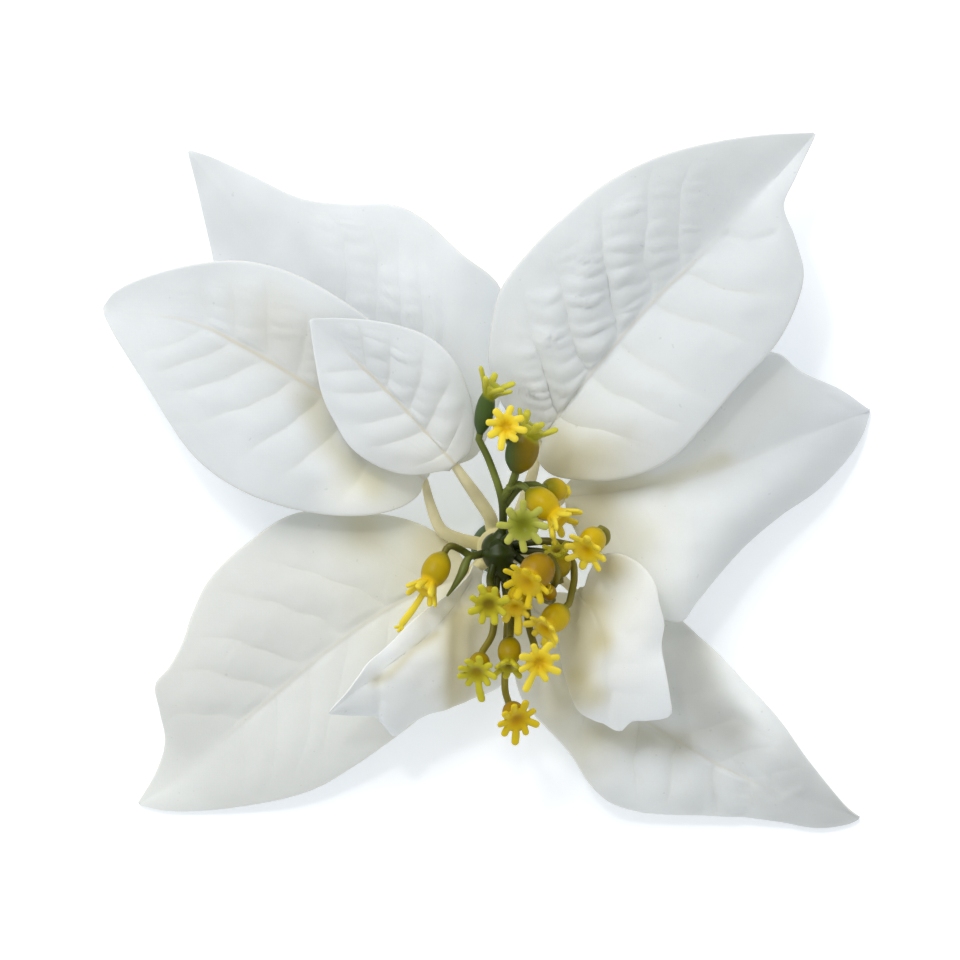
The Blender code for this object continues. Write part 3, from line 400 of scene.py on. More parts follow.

# Each bract, seen from above by someone who looks from its base to its tip. "tier"
# is the ring that carries it. "rib" runs from base to tip, and "left" and "right"
# are the edges without their two ends. "arch" is the rise of each half between rib
# and edge as a share of its width, and "ruffle" the height of the waves along the
# edges. "press" is how deep the pillows between the side veins are. The tone of each
# half multiplies its colour: painted shade for the way that half is turned to the light.
# "veins" are the side veins from the base on: where each leaves the rib, and a point
# that it passes in the left and in the right half.
# "folds" are a width, a height, which is below zero for a crease, and a line.
# The olive patches are mostly painted olive shade and painted yellow light reflected
# from the flowers, with some warm tint: a width, a strength and a line. The patches of
# painted light and painted shade are a width, what they multiply the colour by, and a line.
BRACTS = {
    "bract_back_upper_left": dict(
        tier=0, arch=0.1, ruffle=0.8, press=(0.2, 0.45), net=(0.2, 0.75), skew=(1, 0.8), peak=(1.5, 1.3),
        tone=(0.88, 0.915), cord=0.5, first=1, last=5.4, mottle=0.05,
        route=((-1.8, 7.4, 9.8), (-4.8, 11.8, 10.6)),
        rib=((-9.8, 18.8, 12.6), (-33, 46, 15), (-54, 71, 9.5), (-71, 91.5, 0.6)),
        left=((-15, 18.2, 13), (-27, 20.4, 13), (-41, 29.5, 11.5), (-54.5, 41, 10), (-62, 52.5, 8),
              (-65, 65, 6.5), (-67.2, 75.5, 4.5), (-69, 83, 2.4)),
        right=((-3.9, 22.5, 14), (0.7, 34, 15), (2.5, 47, 16), (0.7, 60, 17), (-8, 67.5, 18),
               (-16.6, 75.4, 17.5), (-24, 79, 16), (-34, 79, 13.5), (-45.3, 80.5, 10.5), (-57, 86, 6),
               (-65, 89.8, 3)),
        veins=(((-14, 23.7), (-21.2, 19.8), (-12.7, 50.1)), ((-18.2, 28.5), (-28.1, 24.8), (-18.2, 66.2)),
               ((-23.2, 34.5), (-37.3, 30.6), (-23, 70.8)), ((-28.8, 40.9), (-45.3, 38.6), (-28.1, 69.7)),
               ((-35.4, 48.8), (-51.1, 46.7), (-35, 69.7)), ((-42.1, 56.8), (-56.8, 54.7), (-41.9, 71.5)),
               ((-48.8, 64.6), (-61.4, 63.5), (-48.5, 75)), ((-55.7, 72.9), (-64.9, 71.8), (-55, 80))),
        shades=((7, 1.08, (-22.3, 61.6), (-13.1, 57)), (9, 0.93, (-67, 85), (-59, 76))),
    ),
    "bract_back_right": dict(
        tier=0, arch=0.14, ruffle=0.6, rounding=(0.08, 0.1), press=(0.1, 0.2), tone=(0.98, 0.95), cord=0.1,
        route=((9, 6.5, 10.4),),
        rib=((15.6, 11.7, 12), (30, 13.3, 14.5), (47, 16.8, 15), (67.5, 24.5, 9), (85.8, 31.5, 0.6)),
        left=((17, 15.8, 13.5), (28, 25, 16.5), (42, 34, 18), (54, 42, 17.5), (63.5, 45, 15.5),
              (70, 40.6, 12.5), (79, 36.5, 7)),
        right=((16.6, 7, 12.4), (18.8, 2.4, 13.2), (21.8, -2.6, 14), (26, -8.6, 15), (31.5, -13.4, 15.6),
               (37, -16.2, 15.6), (42.6, -16.8, 15), (46.6, -11.6, 14.4), (56, -0.5, 13), (65, 7.1, 10.5),
               (73, 12.7, 7.5), (80, 19.8, 4.5), (84.2, 26, 2)),
        veins=(((23.7, 14.5), (32.9, 24.8), (28.3, 1.8)), ((35.2, 15), (47.8, 31.7), (39.8, -7.4)),
               ((46.7, 17.9), (58.2, 37.5), (47.8, -2.8)), ((57, 21.9), (65.1, 39.1), (61.6, 8.7)),
               ((67.4, 26.7), (72, 36.8), (73.1, 17.9))),
        folds=((3, 0.5, (34, 11), (36.3, 6.4), (37, 1.8)),
               (3, 0.5, (40.9, 11.5), (43.9, 7.6), (44.9, 1.8)),
               (1.2, 0.35, (77, 35.9), (81.2, 33.8), (85.8, 31.7))),
        stains=((7, 0.45, (21.4, 8.7)), (2.2, 0.3, (24, 13.5), (39, 15.5), (52, 20.5)),
                (6, 0.15, (30.6, 3)), (9, 0.12, (50, 25), (62, 36))),
        shades=((5, 0.87, (44.4, -12), (57, 4.1), (69.7, 14.5), (81.2, 27.1)), (9, 0.87, (26, 8.7)),
                (9, 1.12, (42, -7.4)), (5, 0.97, (42.5, 6)), (6, 1.07, (80, 32))),
    ),
    "bract_back_lower_right": dict(
        tier=0, arch=0.08, ruffle=0.5, rounding=(0.25, 1), arch_end=0.55, press=(0.5, 1.5),
        groove=(0, 0.3), net=(0, 0.1), tone=(0.93, 0.93), cord=0.4, cream=0.1, last=6, mottle=0.04,
        crumple=2.2,
        route=((3.4, -6, 10),),
        rib=((5.3, -10.1, 11.6), (14.5, -21.5, 12.6), (24, -33, 12), (36, -41, 10), (52, -50.5, 7.5),
             (67.4, -57.2, 4.5), (83.5, -62.3, 0.6)),
        left=((10, -10, 11), (18, -10.5, 9.6), (28.3, -12, 8.4), (38, -13.2, 8.2), (43, -17, 8.6),
              (50.1, -23.5, 9), (57, -31, 9), (65.1, -39.6, 8), (70.8, -47.6, 6.2), (76.6, -55, 4),
              (81, -60, 2)),
        right=((4, -16.6, 11), (3.5, -25.8, 11.5), (5.8, -35, 12), (11, -41, 11.5), (16.8, -47.5, 10),
               (21, -54, 8), (26, -58.6, 6.5), (34, -61, 5), (47, -61.6, 3.8), (60.5, -62.5, 2.6),
               (73, -64.4, 1.6), (80, -63.9, 0.9)),
        veins=(((14.5, -21.4), (29.4, -15.4), (8.7, -32.7)), ((23.7, -32.7), (44.4, -23.5), (17.9, -46.5)),
               ((32.9, -38.9), (52.4, -31.5), (31.7, -55.7)), ((40.9, -43.7), (61.6, -38.4), (39.3, -58)),
               ((50.1, -49.7), (67.4, -45.3), (50.6, -60.7)),
               ((58.2, -53.4), (72.5, -49.9), (59.8, -61.4)), ((66.2, -56.8), (76.1, -54.5), (69, -63))),
        folds=((3.6, -0.9, (46.7, -21.2), (50.1, -30.4), (55.4, -41.9)),
               (3.2, 0.7, (49.5, -24.6), (54.7, -32.7), (61.6, -39.6)),
               (1.6, -0.35, (55, -38.5), (63, -44.5)),
               (1.2, 0.3, (65.1, -58.4), (67.4, -56.8), (69.7, -55.7)),
               (0.8, -0.3, (50.6, -51.1), (50.6, -55.7), (50.6, -60.7)),
               (0.9, -0.22, (47.2, -51), (47.4, -60.5)), (0.9, -0.25, (56.6, -55), (56.8, -61)),
               (1, -0.3, (55.5, -50), (59.5, -54.2), (64, -57.8)), (0.9, -0.25, (63, -53), (65, -59.5))),
        stains=((7, 0.4, (14.5, -35)), (6, 0.25, (20.2, -45.3)), (3.5, 0.3, (24.8, -42), (42, -44.5)),
                (6, 0.12, (46, -24), (47, -35), (53, -42))),
        shades=((6, 0.77, (44.4, -23.5), (46.7, -35), (54, -42.5)), (4, 0.91, (24.8, -43), (42, -45.3)),
                (3.4, 1.2, (50.5, -23.5), (56.4, -32.7), (63.2, -42.5)),
                (7, 0.81, (67.4, -55.7), (81.2, -61.4)), (7, 1.09, (23.7, -46.5), (37.5, -55.7))),
    ),
    "bract_back_lower_left": dict(
        tier=0, arch=0.1, ruffle=0.6, rounding=(0.3, 0.6), press=(0.35, 0.6), groove=(0, 0.15),
        net=(0, 0.2), tone=(0.965, 0.905), cord=0.7, line=0.3, cream=0.25, last=6, mottle=0.01,
        rib=((-6.6, -6.2, 10.9), (-22.3, -12.4, 12.6), (-36, -21.2, 12.6), (-48, -31, 10), (-62, -43, 6.5),
             (-74, -53.8, 3), (-82.5, -59, 0.6)),
        left=((-4.6, -13, 10), (-5.4, -21.2, 9.8), (-10.8, -31.5, 10), (-17.7, -39.1, 9.8),
              (-27, -46.2, 8.6), (-36, -52.2, 6.8), (-43, -55.8, 5.2), (-52, -58.5, 3.4),
              (-63.7, -60.2, 1.8), (-75, -60.5, 0.9)),
        right=((-9.4, -0.6, 10.4), (-14, 3.6, 10.6), (-22.3, 7.1, 11), (-34, 8.4, 12), (-47, 7.8, 12),
               (-58, 0.7, 11.2), (-66, -7, 10.2), (-70, -14.7, 9.4), (-72.4, -21.6, 8.8),
               (-75.4, -27.2, 8.2), (-78.8, -31.6, 7.6), (-77.8, -37.5, 6.2), (-76.4, -44.2, 4.6),
               (-78.4, -51.3, 2.8)),
        veins=(((-16.6, -7.4), (-13.1, -18.9), (-29.2, 1.8)),
               ((-25.8, -12.4), (-25.8, -26.9), (-44.2, -5.1)),
               ((-35, -19.6), (-37.7, -37.3), (-52.2, -12)),
               ((-44.2, -26.5), (-44.2, -48.8), (-67.2, -20)),
               ((-51.8, -32.7), (-51.8, -51.1), (-68.3, -28.1)),
               ((-59.1, -40), (-58.4, -53.4), (-70.2, -38)),
               ((-67.2, -47.6), (-65.3, -56.1), (-73.4, -46.5))),
        stains=((6, 0.35, (-31.1, 4.1)), (8, 0.35, (-13.1, 0.7))),
        shades=((10, 1.15, (-77.5, -58)), (9, 1.08, (-17.7, 0.7), (-12, -3))),
    ),
    "bract_mid_left": dict(
        tier=1, arch=0.1, ruffle=0.6, rounding=(0.18, 1.2), arch_end=0.45, press=(0.8, 0.5),
        groove=(0.25, 0.2), net=(0.1, 0.6), peak=(1, 1.2), tone=(0.9, 0.915), cord=0.8, last=7,
        route=((-8.6, 2, 13.4), (-12.8, 4.2, 14.2), (-15.2, 9.6, 15)),
        rib=((-16.6, 15.6, 16), (-31.5, 28.6, 19.5), (-45.3, 38.6, 20.5), (-59, 46.7, 19),
             (-71, 52.2, 16.5), (-90.6, 55.3, 12)),
        left=((-18.4, 12, 17), (-22.5, 9.2, 18.5), (-29.2, 7.6, 20), (-38.4, 7.6, 21), (-47.6, 9.2, 21.5),
              (-57, 12.4, 21.5), (-65, 17, 21), (-71.8, 23.7, 20), (-79.8, 36, 18), (-86.7, 46.7, 15.5),
              (-90, 52.6, 13)),
        right=((-15, 19.5, 17), (-14.6, 25, 18.4), (-16.5, 35, 20), (-23, 46.7, 21.2), (-33, 55.2, 22),
               (-45.3, 62.4, 22), (-57, 65.8, 20.5), (-68.3, 65.5, 18.5), (-79.8, 62.8, 15.8),
               (-87.6, 59.2, 13.4)),
        veins=(((-25.8, 24.4), (-37.3, 11), (-21.2, 34)), ((-33.8, 30.4), (-51.1, 16.3), (-28.8, 45.5)),
               ((-40.2, 35), (-53.4, 24.8), (-36.1, 50.1)), ((-45.8, 38.6), (-63.2, 30.6), (-43.7, 52.4)),
               ((-53.4, 43.2), (-67.2, 37.5), (-52.9, 54.3)),
               ((-60.3, 47.4), (-75.9, 40.9), (-60.3, 55.9)), ((-67.2, 50.6), (-78, 45.5), (-67.2, 57))),
        stains=((6, 0.2, (-33.8, 13.3), (-22.3, 15.6)), (9, 0.2, (-52, 51), (-36, 40)),
                (3.5, 0.35, (-42.5, 33.5), (-37.7, 23.2), (-28.5, 14.9))),
        shades=((6, 1.3, (-33.8, 13.3), (-22.3, 15.6)), (7, 1.04, (-79.8, 54.7)), (8, 0.94, (-68.3, 45.5)),
                (6, 1.08, (-38, 24))),
    ),
    "bract_mid_upper_right": dict(
        tier=1, arch=0.12, ruffle=0.6, rounding=(0.16, 0.06), press=(1.15, 0.9), groove=(0.1, 0.35),
        net=(3, 0.1), skew=(0.75, 1), fall=(0.75, 0), tone=(0.86, 0.87), cord=0.9, line=0.3, last=5.6,
        route=((5, 7.5, 13.2), (8, 16.5, 14.2)),
        rib=((9.9, 24.8, 15.5), (15, 31.5, 17), (24, 43, 19.5), (35.2, 55.9, 20.5), (46.7, 67.2, 20),
             (56.2, 77, 18.5), (65.1, 86.3, 17.5), (73, 95.3, 18)),
        left=((6.2, 27, 16.5), (1.2, 33, 19), (-1.8, 42, 22), (-1.2, 51.3, 24), (1.4, 60.5, 25.5),
              (9, 70, 26), (15.6, 76.2, 26), (24, 83.2, 25.5), (35.2, 89.2, 24), (46.7, 92.7, 22.5),
              (60.5, 94.9, 20.5)),
        right=((9.6, 20.4, 16), (12.4, 17, 17), (17.5, 15.8, 18), (25.5, 15.6, 20), (34, 17.5, 22),
               (41, 21.4, 23.5), (47, 27.6, 24.5), (56, 38, 25), (63.3, 45.8, 24.5), (68, 54, 23.5),
               (70.4, 62.8, 22), (68.4, 71, 20.5), (65.8, 78.2, 19.5), (68.7, 85.3, 19)),
        veins=(((12.2, 31.7), (6.9, 55.9), (29.4, 25.5)), ((19.6, 41), (12.9, 66.9), (40.9, 29.4)),
               ((26, 49.5), (24.2, 77.1), (40.9, 38.2)), ((34.7, 58.5), (34, 79.5), (55.9, 48.5)),
               ((41, 65), (42, 80), (59.8, 58.2)), ((46.6, 70.2), (48, 81.2), (60.3, 71.1))),
        folds=((1.1, -0.55, (53, 72), (58, 70.7), (63.5, 72)),),
        stains=((8, 0.55, (15, 19.8)), (6, 0.2, (26, 21.4))),
        shades=((4.5, 1.1, (58.2, 81.2), (67.4, 88)), (7, 0.95, (35, 85), (55, 92)),
                (9, 1.06, (9.9, 47.8))),
    ),
    "bract_front_upper_left": dict(
        tier=2, arch=0.14, ruffle=0.4, arch_end=0.6, press=(0.9, 0.6), groove=(0.2, 0.2), net=(0.1, 1.3),
        skew=(1, 0.8), peak=(1, 0.95), tone=(0.87, 0.85), cord=0.9, first=0.9, last=5.4,
        route=((-1.7, 7.4, 16.6), (-4.4, 11.7, 18.6), (-7, 15.4, 21)),
        rib=((-9.6, 19.2, 23.6), (-15.4, 25.6, 25.8), (-22.4, 33.2, 27), (-33.8, 44.3, 27.3),
             (-42.8, 52.4, 26)),
        left=((-13.4, 17.6, 25), (-20, 16.8, 27), (-27, 18.6, 28.6), (-33.4, 23, 29.4),
              (-37.4, 29.4, 29.6), (-40.2, 35.4, 29.4), (-41.8, 43.2, 28.4)),
        right=((-6.2, 22.4, 25.2), (-5.2, 28, 27.5), (-6.4, 35.2, 29.6), (-9.8, 43, 31), (-15.4, 48.3, 31),
               (-22.3, 51, 30.2), (-30, 52.4, 28.8), (-37.3, 52.8, 27.2)),
        veins=(((-11.7, 21.9), (-20.5, 18.6), (-9.2, 27.1)), ((-16.6, 26.5), (-31.1, 23.2), (-12.9, 34)),
               ((-21.2, 30.6), (-36.1, 27.8), (-17.2, 42.8)),
               ((-26.9, 35.2), (-38.4, 35.9), (-24.2, 47.4)), ((-32, 39.8), (-39.6, 40.7), (-30.6, 47.8)),
               ((-37.3, 45.1), (-41.2, 46.2), (-36.8, 49.5))),
        shades=((5, 1.15, (-13.1, 22.5)), (4.5, 0.94, (-40, 47.5), (-31, 46.5))),
    ),
    "bract_front_lower_left": dict(
        tier=2, arch=0.11, ruffle=0.5, rounding=(0.8, 0.7), press=(0.2, 0.2), tone=(0.965, 0.97),
        cream=0.05, crumple=5,
        rib=((-4.4, -4.6, 17.6), (-10, -13.4, 22.8), (-16.6, -20.6, 27.4), (-22.3, -25, 28),
             (-28.4, -29.6, 27), (-38.4, -38, 23.5)),
        left=((-3.6, -8.4, 17.6), (-0.6, -12, 17.8), (1.2, -17, 17.6), (1.8, -24, 17), (1.5, -30.6, 16.6),
              (-1.6, -33, 16.4), (-7, -35, 16.4), (-11, -36.6, 16.8), (-15.6, -38, 17.4),
              (-19.4, -40.2, 18), (-23.8, -43.4, 18.6), (-26, -41, 19.8), (-28.4, -38.8, 21),
              (-33.8, -38.6, 22.2)),
        right=((-6.6, -6.2, 19.4), (-9.6, -9.4, 22.2), (-13.1, -12, 25), (-18.9, -16.1, 27.6),
               (-24.2, -21.4, 28.4), (-29.6, -26.4, 28), (-33.6, -32, 26.4)),
        veins=(((-8.5, -12), (-6.2, -21.2), (-13.1, -9.7)), ((-14.3, -18.4), (-10.3, -30.4), (-20, -14.3)),
               ((-20, -23.5), (-16.6, -35), (-25.8, -21.2)),
               ((-26.9, -28.5), (-24.2, -38.4), (-31.1, -28.1))),
        folds=(
               (1.7, -0.42, (-5.3, -10.1), (-10.8, -16.6), (-15.4, -20.5), (-21.2, -23.9), (-24.6, -26.9),
                (-27.6, -30.6)),
               (1.2, -0.6, (-27.6, -30.6), (-27.1, -35), (-27.8, -40), (-24.6, -43)),
               (1.3, 0.28, (-11.3, -18.4), (-11.7, -26.9), (-12.4, -35)),
               (1.4, -0.22, (-9.2, -15.4), (-9.4, -25.8), (-10.3, -35)),
               (1.4, 0.2, (-6.7, -12), (-6.9, -23.5), (-7.6, -33.8))),
        stains=((1.3, 0.4, (-14, -19.8), (-18.6, -22.8), (-24.6, -29), (-27.6, -30.4)),
                (2.2, 0.3, (-9.9, -16.3), (-10.6, -35)), (4.5, 0.5, (-7.4, -16.6), (-8, -32.7))),
        shades=((5, 1.1, (-15.4, -14.3)), (5, 1.22, (-8.5, -12)), (4.5, 0.9, (-36, -35.5), (-31, -34)),
                (4, 0.9, (-7.4, -16.6), (-8, -32.7))),
    ),
    "bract_front_lower_right": dict(
        tier=2, arch=0.16, ruffle=0.4, rounding=(0.8, 0.5), press=(0.3, 0.3), tone=(1, 1),
        route=((8.4, -3.6, 16.4), (14.4, -6.8, 18)),
        rib=((18, -10.2, 20.4), (22, -14.6, 24.8), (24.6, -22, 27.6), (25.2, -30.4, 26.6),
             (26.6, -36.6, 24), (28.3, -41.9, 21)),
        left=((20.8, -8.6, 22.4), (21.6, -5, 24.4), (23.6, -1.6, 26.4), (28.4, -1.3, 28.6),
              (33.4, -4.1, 29.8), (36.3, -8.3, 30), (37.2, -12.7, 29.4), (38.3, -17.2, 28.6),
              (37.8, -22, 28), (38.6, -27.6, 27.4), (39.6, -33.4, 26), (39.8, -38.2, 24),
              (35.2, -39.4, 23.4), (31.5, -39.4, 22.6)),
        right=((16, -13.4, 19.6), (14.6, -19, 18.2), (14.8, -26, 17.6), (16.6, -32.6, 18.2),
               (19.2, -37.4, 19), (22.2, -39.4, 20), (25, -40.6, 20.4)),
        veins=(((21.4, -13.8), (32.9, -9.7), (15.9, -21.2)), ((24.2, -20), (36.3, -18.9), (15.9, -28.1)),
               ((25.1, -26.9), (37.5, -26.9), (17.9, -32.7)), ((25.8, -33.1), (38, -35), (20.5, -37.3))),
        folds=(
               (2.2, 0.6, (27.6, -4.4), (23.7, -9), (22.5, -14.7), (26, -20), (23.7, -25.8),
                (21.9, -31.5), (19.8, -35.9)),
               (2.5, -0.35, (30.6, -21.2), (34, -23.5), (36.3, -24.6)),
               (1.2, -0.3, (26.5, -32.7), (25.3, -37.7), (24.4, -40.7))),
        stains=((6, 0.5, (19.1, -14.3), (18.6, -23.5), (17.3, -32.7)), (3.2, 0.6, (26.5, -4.4)),
                (3, 0.4, (21.9, -12)), (2.4, 0.45, (24.4, -21.2)), (2.6, 0.5, (18.4, -29.2)),
                (3, 0.3, (23, -33.8))),
        shades=((6, 0.88, (19.1, -14.3), (18.6, -23.5), (17.3, -32.7)), (6, 0.85, (29.4, -2.8)),
                (6, 1.1, (18, -18), (20, -30))),
    ),
}

# What a small flower has unless its row says otherwise
PLAIN_FLOWER = dict(fan=None, turn=0, first=1, prongs=0, blush=None)

# Each small flower: the foot of its cup, the way the cup faces, the cup's length
# and radius, its rays (how many, how far they reach, and their spread from the
# cup's axis in degrees), and the route of its stem up to the foot. "turn" is the
# direction of the first ray in degrees, and "first" makes that ray longer. The
# bud and the flower seen from behind have three short rays in a nearly shut mouth.
# "prongs" fork the end of the first ray, and "fan" is the way the rays open where
# the mouth is bent aside. One side of some cups turns to another colour: partly the
# cup's own two-tone, partly painted light and shade on that side. It gives the
# colour, how far it goes, and below zero for the left side.
FLOWERS = {
    "flower_top_left": dict(
        foot=(-3.9, 26.4, 31), face=(0.2, 0.94, 0.28), fan=(0.55, 0.78, 0.3), length=9.6, radius=2.2,
        rays=6, reach=5.6, spread=40, turn=20, palette="green", blush=((72, 86, 58), -0.6),
        stem=((1.4, 2.6, 24.4), (1.1, 11, 27.4), (-1.6, 19.5, 29.2)),
    ),
    "flower_top_front": dict(
        foot=(1.7, 27, 40.4), face=(0.05, 0.16, 1), length=5.4, radius=2.3, rays=8, reach=3.6, spread=76,
        turn=166, first=1.3, palette="yellow",
        stem=((1.2, 11, 27.4), (3.4, 14.6, 28.2), (4.4, 18.4, 27), (3.4, 23, 28), (1.9, 26.2, 33.5)),
    ),
    "flower_top_right": dict(
        foot=(4.2, 17.5, 32), face=(0.3, 0.92, 0.14), fan=(0.55, 0.8, 0.14), length=9.2, radius=3.8,
        rays=7, reach=5.4, spread=40, turn=10, palette="green", blush=((132, 108, 4), 0.9),
        stem=((1.2, 12, 27.6), (3, 14, 28.6)),
    ),
    "flower_upper_right": dict(
        foot=(7.2, 13.2, 31.8), face=(0.7, -0.65, 0.3), length=8.4, radius=3.4, rays=8, reach=5.6,
        spread=40, turn=20, first=1.1, palette="yellow", stem=((2.6, 13.8, 28.6), (4.8, 14.6, 30)),
    ),
    "flower_right_behind": dict(
        foot=(11, 13.8, 28.4), face=(0.64, -0.12, -0.76), length=6, radius=2.8, rays=3, reach=1.2,
        spread=24, palette="yellow", stem=((1.4, 9.4, 26.2), (5, 13.8, 27.4), (8.4, 14.6, 29.4)),
    ),
    "flower_centre": dict(
        foot=(5.8, 6.2, 36.6), face=(0.02, -0.12, 1), length=6.6, radius=2.5, rays=8, reach=4.8, spread=72,
        palette="lime", stem=((1, 1.2, 25), (4.2, 4, 29.5)),
    ),
    "flower_right_low": dict(
        foot=(14.4, -6.4, 25.8), face=(-0.1, 0.78, 0.58), length=6.6, radius=3, rays=6, reach=2.4,
        spread=40, palette="olive", blush=((176, 136, 8), -0.5),
        stem=((2, 0, 22), (7, -3.8, 22.6), (12.4, -7.2, 24)),
    ),
    "flower_right": dict(
        foot=(23.2, 3.7, 31), face=(-0.4, -0.58, 0.71), length=6.2, radius=3.1, rays=8, reach=4.4,
        spread=60, turn=20, palette="yellow",
        stem=((2, 0.6, 21.6), (11, 1.6, 22.6), (19, 0.4, 24), (24.4, 1.2, 26.4), (25.2, 3.4, 28.6)),
    ),
    "flower_big": dict(
        foot=(11.4, -2.6, 36.4), face=(-0.5, -0.56, 0.66), length=8, radius=4, rays=9, reach=4.8,
        spread=54, turn=90, palette="gold", blush=((128, 90, 0), 0.7),
        stem=((1.6, -2.4, 22.6), (6, -7, 25), (10.4, -9.6, 27), (12.9, -8.6, 30), (13.8, -5.2, 33.8)),
    ),
    "flower_bud": dict(
        foot=(12.4, -11.2, 30.4), face=(-0.22, 0.42, 0.88), length=4.6, radius=1.8, rays=3, reach=0.8,
        spread=20, palette="gold", blush=((126, 94, 0), -0.8),
        stem=((1.8, -3, 22), (7, -9, 24), (11.4, -12, 26.6)),
    ),
    "flower_left": dict(
        foot=(-12.2, -1.3, 28), face=(-0.42, -0.84, 0.36), fan=(-0.5, -0.78, 0.36), length=8, radius=3.2,
        rays=7, reach=5, spread=32, turn=180, first=2.3, prongs=3, palette="yellow",
        blush=((166, 142, 10), -0.9),
        stem=((-2.2, -1, 22.6), (-5.8, -1.7, 23.8), (-8.2, -0.4, 25.4), (-10.4, 0.5, 27.4)),
    ),
    "flower_lower_left": dict(
        foot=(-1.5, -10, 33), face=(-0.06, -0.42, 0.9), length=6.4, radius=2.6, rays=8, reach=3.8,
        spread=70, turn=200, palette="olive", stem=((-0.4, -2.4, 24.6), (-1.6, -6.8, 27)),
    ),
    "flower_lower_middle": dict(
        foot=(4.9, -9.2, 28.6), face=(-0.1, -0.62, 0.78), length=6, radius=2.3, rays=7, reach=3.8,
        spread=50, turn=186, first=1.6, palette="yellow", stem=((1.2, -2.6, 23.4), (4, -6.4, 25.2)),
    ),
    "flower_low_right": dict(
        foot=(15.6, -13.6, 31), face=(-0.6, -0.62, 0.5), length=6.8, radius=3.2, rays=8, reach=4,
        spread=56, turn=30, palette="yellow",
        stem=((2.4, -0.4, 20.4), (11, -1, 21.8), (16.8, -2.6, 23.6), (17.7, -6.8, 26), (17, -10.6, 29)),
    ),
    "flower_row_middle": dict(
        foot=(3, -20.6, 30.4), face=(-0.05, -0.84, 0.54), length=6.6, radius=2.7, rays=7, reach=3.4,
        spread=40, turn=20, palette="olive", stem=((1.2, -3.4, 21.6), (2.9, -9.6, 24), (3.2, -15.6, 26.4)),
    ),
    "flower_row_left": dict(
        foot=(-3.6, -24.6, 30.6), face=(-0.16, -0.6, 0.78), length=5.8, radius=2.5, rays=9, reach=3.5,
        spread=68, turn=183, first=1.8, palette="amber",
        stem=((0.2, -3.6, 22.4), (-0.5, -12.6, 25), (-1, -19.4, 27.2)),
    ),
    "flower_row_right": dict(
        foot=(9.2, -24.4, 33), face=(0.08, -0.3, 0.95), length=5.6, radius=2.4, rays=8, reach=3.9,
        spread=76, turn=154, first=1.6, palette="yellow",
        stem=((2, -3, 21), (6.2, -11.6, 23.6), (7.5, -18.6, 26.6)),
    ),
    "flower_bottom": dict(
        foot=(3, -36.2, 28.2), face=(0.26, -0.5, 0.82), length=5.6, radius=2.6, rays=9, reach=3.8,
        spread=68, turn=182, first=1.3, palette="gold",
        stem=((1.2, -3.6, 20.6), (2.4, -14, 21.6), (2, -25, 22.8), (1.8, -32, 24.6)),
    ),
}


class Row:
    """A row of a table as attributes, with the usual values for what it leaves out."""

    def __init__(self, usual, own):
        for key, value in {**usual, **own}.items():
            setattr(self, key, value)


class Curve:
    """A smooth curve through points, read by the share of its length."""

    def __init__(self, points):
        knots = np.array([tuple(point) for point in points], float)
        padded = np.vstack((2 * knots[0] - knots[1], knots, 2 * knots[-1] - knots[-2]))
        u = np.arange(1, STEPS_A_SPAN + 1)[:, None] / STEPS_A_SPAN
        spans = [catmull_rom(*ends, u) for ends in zip(padded, padded[1:], padded[2:], padded[3:])]
        self.line = np.vstack([knots[:1], *spans])
        runs = lengths(np.diff(self.line, axis=0))
        self.reach = np.concatenate(([0.0], np.cumsum(runs)))
        self.length = self.reach[-1]

    def at(self, share):
        wanted = np.clip(share, 0, 1) * self.length
        return np.stack([np.interp(wanted, self.reach, self.line[:, k]) for k in range(3)], axis=-1)

    def nearest(self, place):
        """The share of the length that lies nearest to a place, seen from above."""
        return self.reach[np.argmin(lengths(self.line[:, :2] - place))] / self.length


def catmull_rom(a, b, c, d, u):
    """The points at u between b and c on the smooth curve through a, b, c and d."""
    slope_b, slope_c = (c - a) / 2, (d - b) / 2
    return (
        (2 * u**3 - 3 * u**2 + 1) * b
        + (u**3 - 2 * u**2 + u) * slope_b
        + (3 * u**2 - 2 * u**3) * c
        + (u**3 - u**2) * slope_c
    )


def lengths(ways):
    return np.linalg.norm(ways, axis=-1)


def unit(ways):
    return ways / np.maximum(lengths(ways), TINY)[..., None]


def bell(distance, width):
    return np.exp(-((distance / width) ** 2))


def smooth(low, high, value):
    """0 below low, 1 above high, and a smooth step between them."""
    share = np.clip((value - low) / (high - low), 0, 1)
    return share * share * (3 - 2 * share)


def mixed(colours, other, share):
    return colours + (np.array(other) - colours) * np.asarray(share)[..., None]


def plain(colour, places):
    """The same colour for every place."""
    return np.broadcast_to(np.array(colour), places.shape)


def scattered(*keys):
    """An even spread of values between 0 and 1, the same for the same keys."""
    total = sum(np.asarray(key, float) * factor for key, factor in zip(keys, SCATTER_FACTORS))
    return np.mod(np.sin(total) * SCATTER_SCALE, 1.0)


def off_route(places, route):
    """How far each place is from a bent line, seen from above."""
    best = np.full(places.shape[:-1], np.inf)
    for start, end in zip(route, route[1:] or route):
        start, run = np.array(start, float), np.array(end, float) - start
        offset = places[..., :2] - start
        share = np.clip(offset @ run / max(run @ run, TINY), 0, 1)
        best = np.minimum(best, lengths(offset - share[..., None] * run))
    return best


def ripple(places, size, seed):
    """Smooth uneven noise between -1 and 1."""
    flat = (places.reshape(-1, 3) / size).tolist()
    values = [noise.noise(Vector(place) + Vector((seed, 2 * seed, 3 * seed))) for place in flat]
    return np.array(values).reshape(places.shape[:-1])


